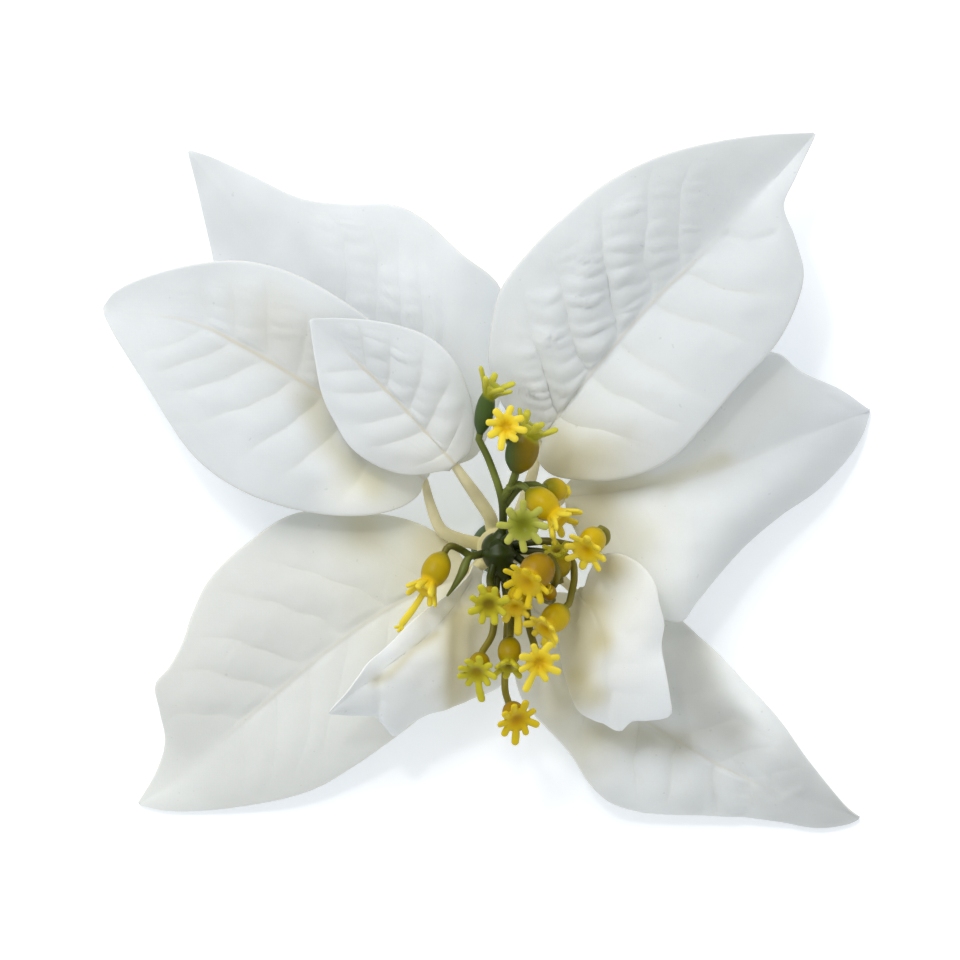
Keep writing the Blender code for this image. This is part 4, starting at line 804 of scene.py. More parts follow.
class Blade(Row):
    """The surface of one bract: along runs from base to tip, and across from -1, the left edge, to 1.

    A phase counts the side veins, from 0 at the base, and is the same all along a vein.
    """

    def __init__(self, name):
        super().__init__(PLAIN_BRACT, BRACTS[name])
        self.name = name
        self.seed = list(BRACTS).index(name)
        self.last = self.last or len(self.veins)
        self.rib = Curve(self.rib)
        self.left = self.edge(-1, self.left)
        self.right = self.edge(1, self.right)
        self.starts, self.rows = self.vein_rows()

    def edge(self, side, points):
        base, tip = self.rib.at(0.0), self.rib.at(1.0)
        base_way = unit(np.cross(self.rib.at(END_SHARE) - base, UP))
        tip_way = unit(np.cross(tip - self.rib.at(1 - END_SHARE), UP))
        first = base + side * base_way * NECK_WIDTH / 2
        last = tip + side * tip_way * TIP_WIDTH / 2
        return Curve((first, *points, last))

    def halves(self, along, across):
        """The way from the rib to the edge on that side, level with along."""
        edge = np.where((across > 0)[..., None], self.right.at(along), self.left.at(along))
        return edge - self.rib.at(along)

    def point(self, along, across):
        along, across = np.broadcast_arrays(np.asarray(along, float), np.asarray(across, float))
        half = self.halves(along, across)
        out = np.abs(across)
        near, far = self.rounding
        rounding = near + (far - near) * smooth(*ROUNDING_RUN, along)
        round_out = np.sqrt(out**2 + rounding**2) - rounding
        arch = self.arch * smooth(ARCH_START, self.arch_end, along)
        rise = arch * lengths(half) * 4 * round_out * (1 - out)
        wave = np.sin(2 * np.pi * RUFFLE_WAVES * along) * np.sin(np.pi * along)
        place = self.rib.at(along) + half * out[..., None]
        run = self.rib.at(along + NEAR_ALONG) - self.rib.at(along - NEAR_ALONG)
        level = np.sum(run[..., :2] ** 2, axis=-1)
        leaning = np.sum(half[..., :2] * run[..., :2], axis=-1) * run[..., 2] / level
        roof = (half[..., 2] - leaning) * (round_out / (np.sqrt(1 + rounding**2) - rounding) - out)
        place[..., 2] += roof + rise + self.ruffle * out**3 * wave
        return place

    def vein_rows(self):
        """Where the side veins leave the rib, and how far along the blade each is at even steps across.

        A vein is nearly straight in plan. The first row is the base of the blade and the last its tip.
        """
        steps = np.linspace(0, 1, SPOT_GRID[0]), np.linspace(-1, 1, SPOT_GRID[1])
        along, across = np.meshgrid(*steps, indexing="ij")
        places = self.point(along, across)[..., :2]
        tipward = unit((self.rib.at(1.0) - self.rib.at(0.0))[:2])
        share = np.linspace(*VEIN_SPOTS)[:, None]
        knots = np.linspace(0, 1, VEIN_KNOTS)
        starts, veins = [0.0], {-1: [np.zeros(VEIN_KNOTS)], 1: [np.zeros(VEIN_KNOTS)]}
        for base, left, right in self.veins:
            start = self.rib.nearest(base)
            root = self.rib.at(start)[:2]
            starts.append(start)
            for side, end in ((-1, left), (1, right)):
                run = np.array(end) - root
                bow = tipward * VEIN_BOW * lengths(run)
                spots = [(0.0, start)]
                for place in root + run * share - bow * 4 * share * (1 - share):
                    off = lengths(places - place)
                    off[across * side <= 0] = np.inf
                    spot = np.unravel_index(np.argmin(off), off.shape)
                    if abs(across[spot]) > spots[-1][0]:
                        spots.append((abs(across[spot]), along[spot]))
                (near, low), (far, high) = spots[0], spots[-1]
                spots.append((far + 1.0, high + (high - low) / (far - near)))
                veins[side].append(np.interp(knots, *zip(*spots)))
        starts = np.array([*starts, 1.0])
        gaps = LEAST_STRIP * np.diff(starts)
        for rows in veins.values():
            rows.append(np.ones(VEIN_KNOTS))
            for row, gap in enumerate(gaps):
                rows[row + 1] = np.maximum(rows[row + 1], rows[row] + gap)
            rows[-1] = np.ones(VEIN_KNOTS)
            for row, gap in reversed(list(enumerate(gaps))):
                rows[row] = np.minimum(rows[row], rows[row + 1] - gap) * (row > 0)
        return starts, {side: np.array(rows) for side, rows in veins.items()}

    def swept(self, phase, across):
        """How far along the blade the points of a phase are."""
        row = np.clip(np.floor(phase).astype(int), 0, len(self.starts) - 2)
        knot = np.abs(across) * (VEIN_KNOTS - 1)
        column = np.clip(np.floor(knot).astype(int), 0, VEIN_KNOTS - 2)
        along = {}
        for side, rows in self.rows.items():
            spans = rows[:, column] + (rows[:, column + 1] - rows[:, column]) * (knot - column)
            near, far = (np.take_along_axis(spans, pick[None], 0)[0] for pick in (row, row + 1))
            along[side] = near + (far - near) * (phase - row)
        return np.where(across > 0, along[1], along[-1])

    def phases(self):
        """The rows of the mesh, crowded along the side veins."""
        phases = []
        spans = [np.diff(rows, axis=0).max(axis=1) for rows in self.rows.values()]
        for strip, span in enumerate(np.max(spans, axis=0)):
            steps = int(np.clip(span * self.rib.length / ROW_SPACING, *STRIP_ROWS))
            turn = np.arange(steps) / steps
            phases.extend(strip + turn - ROW_CROWDING * np.sin(2 * np.pi * turn))
        return np.array([*phases, len(self.starts) - 1.0])

    def relief(self, phase, across, middle, off_rib):
        """The height pressed into the sheet: pillows between side veins, a net of fine creases, the rib."""
        lengthwise = np.gradient(middle, phase[:, 0], axis=0)
        crosswise = np.gradient(middle, across[0], axis=1)
        outward = unit(crosswise) * np.sign(across)[..., None]
        pitch = lengths(np.cross(lengthwise, crosswise)) / lengths(crosswise)
        out = np.abs(across)
        centre = phase.shape[1] // 2
        run = np.cumsum(lengths(np.diff(middle, axis=1, prepend=middle[:, :1])), axis=1)
        run = np.abs(run - run[:, centre : centre + 1])
        wobble = WOBBLE * ripple(middle, WOBBLE_LENGTH, self.seed + WOBBLE_SEED)
        phase = phase + wobble * smooth(0, 1, phase)
        part = phase - np.floor(phase)
        run = run + (part - 0.5) * np.sum(lengthwise * outward, axis=-1)
        run = run + NET_WOBBLE * ripple(middle, NET_WOBBLE_LENGTH, self.seed + NET_SEED)
        off_vein = np.minimum(part, 1 - part) * pitch

        side = (across > 0).astype(int)
        pairs = (self.press, self.groove, self.skew, self.peak, self.fall)
        press, groove, skew, peak, fall = (np.array(pair)[side] for pair in pairs)
        inside = smooth(self.first - FIRST_FADE, self.first + FIRST_FADE, phase)
        inside = inside * smooth(self.last + LAST_FADE[0], self.last - LAST_FADE[1], phase)
        uneven = ripple(middle, FADE_LENGTH, self.seed + FADE_SEED)
        fade = smooth(0.0, RIB_CLEAR, out) * smooth(*EDGE_FADE, out + EDGE_FADE_UNEVENNESS * uneven)
        fade = fade * inside * (1 - fall * smooth(*FALL_STRIPS, phase))

        dome = np.sin(np.pi * part**skew) ** np.maximum(peak, 1.0)
        crease = bell(off_vein, GROOVE_WIDTH) * groove * fade
        height = PILLOW_RISE * np.minimum(pitch, WIDEST_PILLOW) * dome * press * fade
        height -= GROOVE_DEPTH * crease
        net = self.net_rise(part, side, run, np.floor(phase), peak)
        height += net * fade * (1 + NET_UNEVENNESS * uneven)
        cord = smooth(0.0, CORD_START, phase) * self.cord
        cord = cord * smooth(self.last + CORD_FADE[0], self.last - CORD_FADE[1], phase)
        height -= CORD_GROOVE * bell(off_rib, CORD_GROOVE_WIDTH) * cord
        height += CORD_RISE * bell(off_rib, CORD_WIDTH) * cord
        return height, crease

    def net_rise(self, part, side, run, strip, peak):
        """Small uneven pillows in a row along each strip between two side veins."""
        rung = run / NET_PITCH

        def crease(number):
            shift = scattered(strip, number, side + SHIFT_KEY * self.seed)
            tilt = scattered(number, strip, side + TILT_KEY * self.seed) - 0.5
            start = number + (1 - CREASE_SHIFT) / 2 + CREASE_SHIFT * shift
            return start + CREASE_TILT * tilt * (part - 0.5)

        number = np.floor(rung)
        number = np.where(rung < crease(number), number - 1, number)
        share = np.clip((rung - crease(number)) / (crease(number + 1) - crease(number)), 0, 1)
        weight = LEAST_NET + (1 - LEAST_NET) * scattered(strip + WEIGHT_KEY, number, self.seed)
        ridge = np.sin(np.pi * share) ** (NET_ROUNDNESS[0] * peak)
        dome = ridge * np.sin(np.pi * part) ** (NET_ROUNDNESS[1] * peak)
        return NET_RISE * np.array(self.net)[side] * weight * dome

    def sway(self, place):
        """Slow hollows and swells of the whole sheet, a faint crumple, and the folds."""
        height = SWAY * ripple(place, SWAY_LENGTH, self.seed)
        height += CRUMPLE * self.crumple * ripple(place, CRUMPLE_LENGTH, self.seed)
        for width, rise, *route in self.folds:
            height += rise * bell(off_route(place, route), width)
        return height

    def tint(self, phase, across, off_rib, crease, place):
        """The colour of the sheet: cool white, cream towards the heart of the head and along the rib.

        It carries painted olive shade and bounced yellow light near the heart, painted light there,
        patches of painted light and shade, and painted shade on each half.
        """
        away = np.hypot(place[..., 0] - HEART[0], place[..., 1] - HEART[1])
        colour = plain(COOL_WHITE, place)
        colour = mixed(colour, CREAM, np.clip(self.cream + CREAM_SHARE * bell(away, CREAM_REACH), 0, 1))
        # painted olive shade and bounced yellow light round the heart of the head
        colour = mixed(colour, HEART_SHADE_OLIVE, HEART_SHADE_SHARE * bell(away, HEART_SHADE_REACH))
        uneven = 1 + SHADE_EDGE_UNEVENNESS * ripple(place, SHADE_EDGE_LENGTH, self.seed + SHADE_SEED)
        # olive patches: mostly painted shade and painted yellow light reflected from the flowers
        for width, share, *route in self.stains:
            colour = mixed(colour, OLIVE_SHADE, share * bell(off_route(place, route) * uneven, width))
        colour = mixed(colour, CREAM, CREASE_CREAM * np.clip(crease, 0, 1))
        cord = smooth(self.last + CORD_TINT_FADE, self.last - CORD_TINT_FADE, phase) * self.cord
        colour = mixed(colour, RIB_CREAM, np.clip(self.line * cord * bell(off_rib, CORD_WIDTH), 0, 1))
        colour = mixed(colour, EDGE_CREAM, EDGE_CREAM_SHARE * smooth(EDGE_SHARE, 1.0, np.abs(across)))
        # painted shade: each half is made darker by the way it is turned to the light
        left, right = self.tone
        tone = left + (right - left) * smooth(-HALF_SHADE_RUN, HALF_SHADE_RUN, across)
        # painted light near the heart, which lightens the shade between the layers
        tone *= 1 + HEART_PAINTED_LIGHT * bell(away, HEART_PAINTED_LIGHT_REACH)
        tone *= 1 + self.mottle * ripple(place, MOTTLE_LENGTH, self.seed + MOTTLE_SEED)
        # patches of painted light and painted shade that lighten or darken the colour
        for width, factor, *route in self.shades:
            tone *= 1 + (factor - 1) * bell(off_route(place, route) * uneven, width)
        return np.clip(colour * tone[..., None], 0, BRIGHTEST)


def grid_normals(grid):
    return unit(np.cross(np.gradient(grid, axis=1), np.gradient(grid, axis=0)))


def sheet_faces(rows, columns):
    """The faces of a closed sheet whose upper grid of points comes first and then the lower one."""
    index = np.arange(rows * columns).reshape(rows, columns)
    under = index + rows * columns
    quads = [
        np.stack((index[:-1, :-1], index[:-1, 1:], index[1:, 1:], index[1:, :-1]), -1).reshape(-1, 4),
        np.stack((under[:-1, :-1], under[1:, :-1], under[1:, 1:], under[:-1, 1:]), -1).reshape(-1, 4),
    ]
    for above, below, flip in (
        (index[:, 0], under[:, 0], False),
        (index[:, -1], under[:, -1], True),
        (index[0, :], under[0, :], True),
        (index[-1, :], under[-1, :], False),
    ):
        wall = np.stack((above[:-1], above[1:], below[1:], below[:-1]), -1)
        quads.append(wall[:, ::-1] if flip else wall)
    return np.concatenate(quads)


def in_scene(name, data):
    thing = bpy.data.objects.new(name, data)
    bpy.context.scene.collection.objects.link(thing)
    return thing


def bare_mesh(name, points, faces):
    data = bpy.data.meshes.new(name)
    data.from_pydata((points * MM).tolist(), [], faces)
    return data


def store_tints(data, tints):
    """Keeps a colour for each point of a mesh as an attribute that the materials read."""
    store = data.attributes.new("tint", "FLOAT_COLOR", "POINT")
    store.data.foreach_set("color", np.column_stack((tints, np.ones(len(tints)))).ravel())


def place_piece(name, data, paint, slot, *nodes):
    """Puts a mesh in the scene, riding on the one body, in the place of the named solids."""
    piece = in_scene(name, data)
    data.materials.clear()
    data.materials.append(paint)
    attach(piece, "root")
    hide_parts(*nodes)


def make_bract(blade, paint):
    side = (np.arange(1, COLUMNS_A_SIDE + 1) / COLUMNS_A_SIDE) ** COLUMN_CROWDING
    columns = np.concatenate((-side[::-1], [0.0], side))
    phase, across = np.meshgrid(blade.phases(), columns, indexing="ij")
    along = blade.swept(phase, across)
    middle = blade.point(along, across)
    off_rib = np.abs(across) * lengths(blade.halves(along, across))
    height, crease = blade.relief(phase, across, middle, off_rib)
    height += blade.sway(middle)
    middle = middle + grid_normals(middle) * height[..., None]
    rim = smooth(1.0, RIM_SHARE, np.abs(across))
    rim = rim * smooth(1.0, 1 - END_RUN, along) * smooth(0.0, END_RUN, along)
    half = SHEET_THICKNESS * (RIM_THICKNESS + (1 - RIM_THICKNESS) * rim)[..., None] / 2
    normals = grid_normals(middle)
    sides = [(middle + normals * way * half).reshape(-1, 3) for way in (1, -1)]
    name = blade.name + "_fabric"
    data = bare_mesh(name, np.concatenate(sides), sheet_faces(*phase.shape).tolist())
    tint = blade.tint(phase, across, off_rib, crease, middle).reshape(-1, 3)
    store_tints(data, np.concatenate((tint, tint)))
    data.shade_smooth()
    data.update()
    place_piece(name, data, paint, "bract_fabric", blade.name)


def skinned(rings, hoop=False):
    """The points and faces of rings of points: closed at both ends, or a hoop that ends where it starts."""
    sides = len(rings[0])
    count = len(rings) * sides
    faces = []
    for start in range(0, count if hoop else count - sides, sides):
        for k in range(sides):
            low, beside = start + k, start + (k + 1) % sides
            faces.append((low, beside, (beside + sides) % count, (low + sides) % count))
    if not hoop:
        faces.append(tuple(range(sides))[::-1])
        faces.append(tuple(range(count - sides, count)))
    return np.array(rings).reshape(-1, 3), faces


def spokes(axis, out, sides):
    """Ways of length 1 all round an axis, from the way out on."""
    return [Quaternion(axis, 2 * math.pi * k / sides) @ out for k in range(sides)]


def ways_along(points):
    """The way in which a route runs at each of its points."""
    befores = points[:1] + points[:-1]
    afters = points[1:] + points[-1:]
    return [(after - before).normalized() for before, after in zip(befores, afters)]


def tube(points, radii, sides, stretch=1.0):
    """The points and faces of a closed tube. Stretch widens it level with the ground."""
    points = [Vector(point) for point in points]
    way = (points[1] - points[0]).normalized()
    out = way.orthogonal().normalized()
    rings = []
    for point, radius, ahead in zip(points, radii, ways_along(points)):
        out = way.rotation_difference(ahead) @ out
        way = ahead
        level = way.cross(UP).normalized() if abs(way.z) < UPRIGHT else Vector()
        ring = [spoke * float(radius) for spoke in spokes(way, out, sides)]
        rings.append([point + spoke + level * spoke.dot(level) * (stretch - 1) for spoke in ring])
    return skinned(rings)


def with_round_ends(points, radii, caps):
    """A route and its radii with half a ball added at the ends that caps names, 0 or -1."""
    points, radii = [Vector(point) for point in points], [float(radius) for radius in radii]
    for cap in caps:
        end, radius = points[cap], radii[cap]
        way = (end - points[1 if cap == 0 else -2]).normalized()
        places = [end + way * radius * share for share in ROUND_SHARES]
        sizes = [radius * math.sqrt(1 - share**2) for share in ROUND_SHARES]
        if cap == 0:
            points, radii = places[::-1] + points, sizes[::-1] + radii
        else:
            points, radii = points + places, radii + sizes
    return points, radii


def ribbon(points, widths, face, flatness):
    """A closed flattened tube with a rounded end, its broad side turned to face."""
    points, widths = with_round_ends(points, widths, (-1,))
    rings = []
    for point, width, way in zip(points, widths, ways_along(points)):
        aside = way.cross(face).normalized()
        out = aside.cross(way)
        ring = [spoke * width for spoke in spokes(-way, aside, RAY_SIDES)]
        rings.append([point + spoke - out * spoke.dot(out) * (1 - flatness) for spoke in ring])
    return skinned(rings)


def smooth_tube(route, radii, sides, steps, caps=()):
    """A tube along a smooth curve, its radius eased from point to point."""
    shares = np.linspace(0, 1, steps)
    sizes = Curve([(share, radius, 0) for share, radius in zip(np.linspace(0, 1, len(radii)), radii)])
    points, radii = with_round_ends(Curve(route).at(shares), sizes.at(shares)[:, 1], caps)
    return tube(points, radii, sides)


def lathe(centres, radii, axis, sides, hoop=False):
    """A closed shape of level rings about centres, square to an axis."""
    ways = spokes(axis, axis.orthogonal().normalized(), sides)
    return skinned([[centre + way * radius for way in ways] for centre, radius in zip(centres, radii)], hoop)


def turned(profile, sides, hoop=False):
    """A profile of (radius, height) points turned about Z."""
    centres = [Vector((0, 0, height)) for _, height in profile]
    return lathe(centres, [radius for radius, _ in profile], UP, sides, hoop)


def closed_mesh(name, shape):
    data = bare_mesh(name, *shape)
    mesh = bmesh.new()
    mesh.from_mesh(data)
    bmesh.ops.recalc_face_normals(mesh, faces=mesh.faces)
    mesh.to_mesh(data)
    mesh.free()
    return data


def fused_mesh(name, shapes):
    """One mesh from closed shapes that overlap."""
    whole = in_scene(name, closed_mesh(name, shapes[0]))
    tools = bpy.data.collections.new(name + "_parts")
    bpy.context.scene.collection.children.link(tools)
    for index, shape in enumerate(shapes[1:]):
        tools.objects.link(bpy.data.objects.new(f"{name}_{index}", closed_mesh(name, shape)))
    join = whole.modifiers.new("join", "BOOLEAN")
    join.operation = "UNION"
    join.solver = "MANIFOLD"
    join.operand_type = "COLLECTION"
    join.collection = tools
    graph = bpy.context.evaluated_depsgraph_get()
    data = bpy.data.meshes.new_from_object(whole.evaluated_get(graph))
    for tool in list(tools.objects):
        bpy.data.objects.remove(tool)
    bpy.data.collections.remove(tools)
    bpy.data.objects.remove(whole)
    return data


def place_moulded(node, data, paint, slot, colour_at, sharp=SHARP_ANGLE):
    """Smooths a moulded piece, colours its points by a function of their places, and puts it in."""
    data.shade_smooth()
    data.set_sharp_from_angle(angle=math.radians(sharp))
    places = np.empty(len(data.vertices) * 3)
    data.vertices.foreach_get("co", places)
    store_tints(data, colour_at(places.reshape(-1, 3) / MM))
    place_piece(node + "_moulded", data, paint, slot, node)


def ring_floor(tier):
    return CAP_HEIGHT + CLEARANCE + tier * RING_PITCH


def make_cap(paint):
    """The green cap behind the head, with a flat underside and a socket for the peg."""
    data = closed_mesh("cap", turned(CAP_PROFILE, ROUND_SIDES))

    def colour_at(places):
        return plain(CAP_GREEN, places)

    place_moulded("back_cap", data, paint, "stem_plastic", colour_at, CAP_SHARP_ANGLE)


def stalk_shape(blade):
    """A stalk from its ring to the blade's base, which runs on against the underside as the rib."""
    height = ring_floor(blade.tier) + RING_HEIGHT / 2
    shares = np.linspace(0, RIB_SHARE, RIB_STEPS)
    radii = np.linspace(RIB_THICKNESS, RIB_END_THICKNESS, RIB_STEPS) / 2
    along = blade.point(shares, np.zeros(RIB_STEPS))
    ahead = blade.point(shares + NEAR_ALONG, np.zeros(RIB_STEPS)) - along
    aside = np.full(RIB_STEPS, NEAR_ACROSS)
    side = blade.point(shares, aside) - blade.point(shares, -aside)
    rib = along - unit(np.cross(side, ahead)) * (SHEET_THICKNESS / 2 + radii - blade.sway(along))[:, None]
    via = blade.route[0] if blade.route else rib[0]
    way = Vector((via[0], via[1], 0)).normalized()
    root = way * STALK_ROOT_RADIUS + UP * height
    rim = way * (RING_RADIUS + RIM_RUN) + UP * height
    free = Curve((root, rim, *blade.route, rib[0]))
    shares = np.arange(STALK_STEPS) / STALK_STEPS
    wide = STALK_THICKNESS / 2
    stalk_radii = wide + (radii[0] - wide) * shares**2
    return tube(np.vstack((free.at(shares), rib)), (*stalk_radii, *radii), TUBE_SIDES, STALK_FLATNESS)


def make_stalks(tier, blades, paint):
    """One ring with the stalks of the blades that it carries."""
    floor = ring_floor(tier)
    top = floor + RING_HEIGHT
    profile = (
        (BORE_RADIUS, floor),
        (RING_RADIUS - RING_CHAMFER, floor),
        (RING_RADIUS, floor + RING_CHAMFER),
        (RING_RADIUS, top - RING_CHAMFER),
        (RING_RADIUS - RING_CHAMFER, top),
        (BORE_RADIUS, top),
    )
    shapes = [turned(profile, ROUND_SIDES, hoop=True)]
    shapes += [stalk_shape(blade) for blade in blades if blade.tier == tier]

    def colour_at(places):
        away = np.hypot(places[:, 0], places[:, 1])
        return mixed(plain(STALK_CREAM, places), STALK_OLIVE, bell(away, STALK_OLIVE_REACH))

    name = RING_NAMES[tier]
    place_moulded(name, fused_mesh(name, shapes), paint, "stalk_plastic", colour_at)


def stem_shape(flower):
    end = flower.foot - STEM_GAP * flower.face
    line = Curve((*flower.stem, end - STEM_END_RUN * flower.face))
    count = STEM_STEPS[0] + STEM_STEPS[1] * len(flower.stem)
    points = [*line.at(np.arange(count + 1) / count), end]
    radii = np.linspace(STEM_RADIUS, STEM_END_RADIUS, len(points))
    return tube(points, radii, TUBE_SIDES)


def make_spray(flowers, paint):
    """The hub with its knuckle, leaflet and stems: dark in the middle, olive and green farther out."""
    outline = Curve([(radius, 0, height) for height, radius in HUB_PROFILE])
    shapes = [turned(outline.at(np.linspace(0, 1, HUB_STEPS))[:, ::2], HUB_SIDES)]
    shapes.append(smooth_tube(KNUCKLE_ROUTE, KNUCKLE_RADII, KNUCKLE_SIDES, KNUCKLE_STEPS, (0, -1)))
    shapes.append(smooth_tube(LEAFLET_ROUTE, LEAFLET_RADII, TUBE_SIDES, LEAFLET_STEPS))
    shapes += [stem_shape(flower) for flower in flowers]

    def colour_at(places):
        away = np.hypot(places[:, 0] - HUB_CENTRE_X, places[:, 1])
        off_leaflet = off_route(places, [point[:2] for point in LEAFLET_ROUTE[1:]])
        green = np.maximum(smooth(*GREEN_FROM_Y, places[:, 1]), bell(off_leaflet, LEAFLET_REACH))
        blotch = STEM_SHARE + STEM_BLOTCH * ripple(places, STEM_BLOTCH_LENGTH, STEM_BLOTCH_SEED)
        share = smooth(*HUB_REACH, away) * blotch
        share = np.maximum(share, LEAFLET_SHARE * bell(off_leaflet, LEAFLET_WIDTH))
        stem = mixed(plain(STEM_OLIVE, places), STEM_GREEN, green)
        return mixed(plain(HUB_GREEN, places), stem, np.clip(share, 0, 1))

    place_moulded("flower_spray", fused_mesh("flower_spray", shapes), paint, "stem_plastic", colour_at)


class Flower(Row):
    """One small flower: a cup with a flared rim, and rays that fan out of its mouth."""

    def __init__(self, name):
        super().__init__(PLAIN_FLOWER, FLOWERS[name])
        self.name = name
        self.fan = Vector(self.fan or self.face).normalized()
        self.face = Vector(self.face).normalized()
        self.foot = Vector(self.foot)
        self.mouth = self.foot + self.face * self.length * RAY_RIM_SHARE

    def ray_line(self, ray):
        """The root, rim and tip of one ray, which leaves the mouth of the cup."""
        start = Vector((0, 1, 0)) if self.face.z > FACING_UP else UP
        across = (start - start.dot(self.fan) * self.fan).normalized()
        aside = Quaternion(self.fan, math.radians(self.turn) + 2 * math.pi * ray / self.rays) @ across
        opening = math.radians(self.spread) * (1 + RAY_UNEVENNESS * math.sin(SPREAD_RHYTHM * ray))
        way = self.fan * math.cos(opening) + aside * math.sin(opening)
        longer = self.first if ray == 0 else 1 + RAY_UNEVENNESS * math.sin(REACH_RHYTHM * ray + 1)
        root = self.foot + self.face * self.length * RAY_ROOT_SHARE
        rim = self.mouth + aside * self.radius * RAY_RIM_WIDTH
        return root, rim, rim + way * self.reach * longer

    def ray(self, ray):
        """One flat ray: it leaves the mouth, arches a little and ends in a broader, rounded tip."""
        root, rim, tip = self.ray_line(ray)
        end = tip - (tip - rim).normalized() * RAY_WIDTHS[-1] * 0.5
        aside = (end - rim).cross(self.fan).normalized() * RAY_BEND
        aside *= math.sin(SPREAD_RHYTHM * ray + self.turn)
        line = Curve((root, rim, rim.lerp(end, 0.5) + self.fan * RAY_ARCH + aside, end - aside))
        shares = np.linspace(0, 1, RAY_STEPS)
        size = 1 + RAY_VARIETY * math.sin(REACH_RHYTHM * ray + 2 * len(self.stem) + self.turn)
        widths = np.interp(shares, np.linspace(0, 1, len(RAY_WIDTHS)), RAY_WIDTHS) * size
        return ribbon(line.at(shares), widths, self.fan, RAY_FLATNESS)

    def prong(self, prong):
        """One finger of the fork that ends the first ray."""
        _, rim, tip = self.ray_line(0)
        way = (tip - rim).normalized()
        aside = Quaternion(UP, math.radians(PRONG_SPREAD) * (prong - (self.prongs - 1) / 2)) @ way
        line = Curve((tip - way * RAY_WIDTHS[-1], tip, tip + aside * (PRONG_REACH - PRONG_WIDTH)))
        widths = np.full(PRONG_STEPS, PRONG_WIDTH)
        return ribbon(line.at(np.linspace(0, 1, PRONG_STEPS)), widths, self.fan, PRONG_FLATNESS)

    def cup(self):
        outline = Curve([(height, radius, 0) for height, radius in CUP_OUTLINE])
        outline = outline.at(np.linspace(0, 1, CUP_STEPS))
        spine = [self.foot + self.face * self.length * float(height) for height in outline[:, 0]]
        return lathe(spine, self.radius * outline[:, 1], self.face, CUP_SIDES)

    def web(self):
        """The flared rim of the cup, which joins the roots of the rays round a dimple."""
        opening = math.radians(self.spread)
        reach = max(WEB_REACH, WEB_SHARE * self.reach)
        root = self.foot + self.face * self.length * WEB_ROOT_SHARE
        rim = self.mouth + self.fan * reach * math.cos(opening)
        near = self.radius * WEB_ROOT_WIDTH
        width = self.radius * RAY_RIM_WIDTH + reach * math.sin(opening)
        up, out = WEB_MIDDLE
        centres = [root, root.lerp(rim, up), *(rim + self.fan * height for height, _ in WEB_PROFILE)]
        radii = [near, near + (width - near) * out, *(width * share for _, share in WEB_PROFILE)]
        return lathe(centres, radii, self.fan, CUP_SIDES)

    def colour_at(self, places):
        foot, face, fan, mouth = (np.array(way) for way in (self.foot, self.face, self.fan, self.mouth))
        colours = (linear(*colour) for colour in PALETTES[self.palette])
        foot_colour, middle, heart, ray_root, ray_end = colours
        offset = places - foot
        beyond = places - mouth
        from_heart = lengths(beyond)
        over_mouth = beyond @ fan
        cup = mixed(plain(foot_colour, places), middle, smooth(*FOOT_RUN, offset @ face / self.length))
        # one side of the cup in another colour: partly its own two-tone, partly painted light and shade
        if self.blush:
            blush, side = self.blush
            aside = offset[:, 0] * np.sign(side) / self.radius
            cup = mixed(cup, linear(*blush), abs(side) * smooth(*SIDE_SHADE_RUN, aside))
        rays = mixed(plain(ray_root, places), ray_end, smooth(*RAY_RUN, from_heart / self.reach))
        in_ray = smooth(*RAY_HEIGHTS, over_mouth) * smooth(*RAY_START, from_heart)
        outside = lengths(offset - np.outer(offset @ face, face)) / self.radius
        in_ray = np.maximum(in_ray, smooth(*OUTSIDE_CUP, outside))
        in_heart = HEART_SHARE * smooth(*HEART_HEIGHTS, over_mouth) * smooth(*HEART_RUN, from_heart)
        return mixed(mixed(cup, rays, in_ray), heart, in_heart)


def make_flower(flower, paint):
    shapes = [flower.cup(), flower.web()]
    shapes += [flower.ray(ray) for ray in range(flower.rays)]
    shapes += [flower.prong(prong) for prong in range(flower.prongs)]
    slot = "floret_yellow" if flower.palette in YELLOWS else "floret_olive"
    place_moulded(flower.name, fused_mesh(flower.name, shapes), paint, slot, flower.colour_at)


class Nodes:
    """A material's node tree, with short calls to add and join nodes."""

    def __init__(self, name):
        self.material = bpy.data.materials.new(name)
        self.material.use_nodes = True
        self.tree = self.material.node_tree
        self.shader = self.tree.nodes["Principled BSDF"]

    def feed(self, node, inputs):
        """Sets a node's inputs, or joins those that are given the output of another node."""
        for key, value in inputs.items():
            if isinstance(value, bpy.types.NodeSocket):
                self.tree.links.new(value, node.inputs[key])
            else:
                node.inputs[key].default_value = value

    def add(self, kind, output, inputs, **settings):
        node = self.tree.nodes.new(kind)
        for key, value in settings.items():
            setattr(node, key, value)
        self.feed(node, inputs)
        return node.outputs[output]

    def place(self):
        return self.add("ShaderNodeTexCoord", "Object", {})

    def tint(self):
        return self.add("ShaderNodeAttribute", "Color", {}, attribute_name="tint")

    def noise(self, scale, detail, roughness):
        inputs = {"Scale": scale, "Detail": detail, "Roughness": roughness, "Vector": self.place()}
        return self.add("ShaderNodeTexNoise", "Fac", inputs)

    def weave(self, direction):
        inputs = {**FABRIC_WEAVE, "Vector": self.place()}
        return self.add("ShaderNodeTexWave", "Fac", inputs, wave_type="BANDS", bands_direction=direction)

    def maths(self, operation, first, second):
        return self.add("ShaderNodeMath", 0, {0: first, 1: second}, operation=operation)

    def ranged(self, value, low, high):
        return self.add("ShaderNodeMapRange", "Result", {"Value": value, "To Min": low, "To Max": high})

    def about(self, middle, value, reach):
        return self.ranged(value, middle - reach, middle + reach)

    def scaled(self, colour, amount):
        """A colour multiplied by a grey amount."""
        return self.add("ShaderNodeVectorMath", "Vector", {0: colour, "Scale": amount}, operation="SCALE")

    def bump(self, height, strength, distance):
        inputs = {"Strength": strength, "Distance": distance, "Height": height}
        return self.add("ShaderNodeBump", "Normal", inputs)


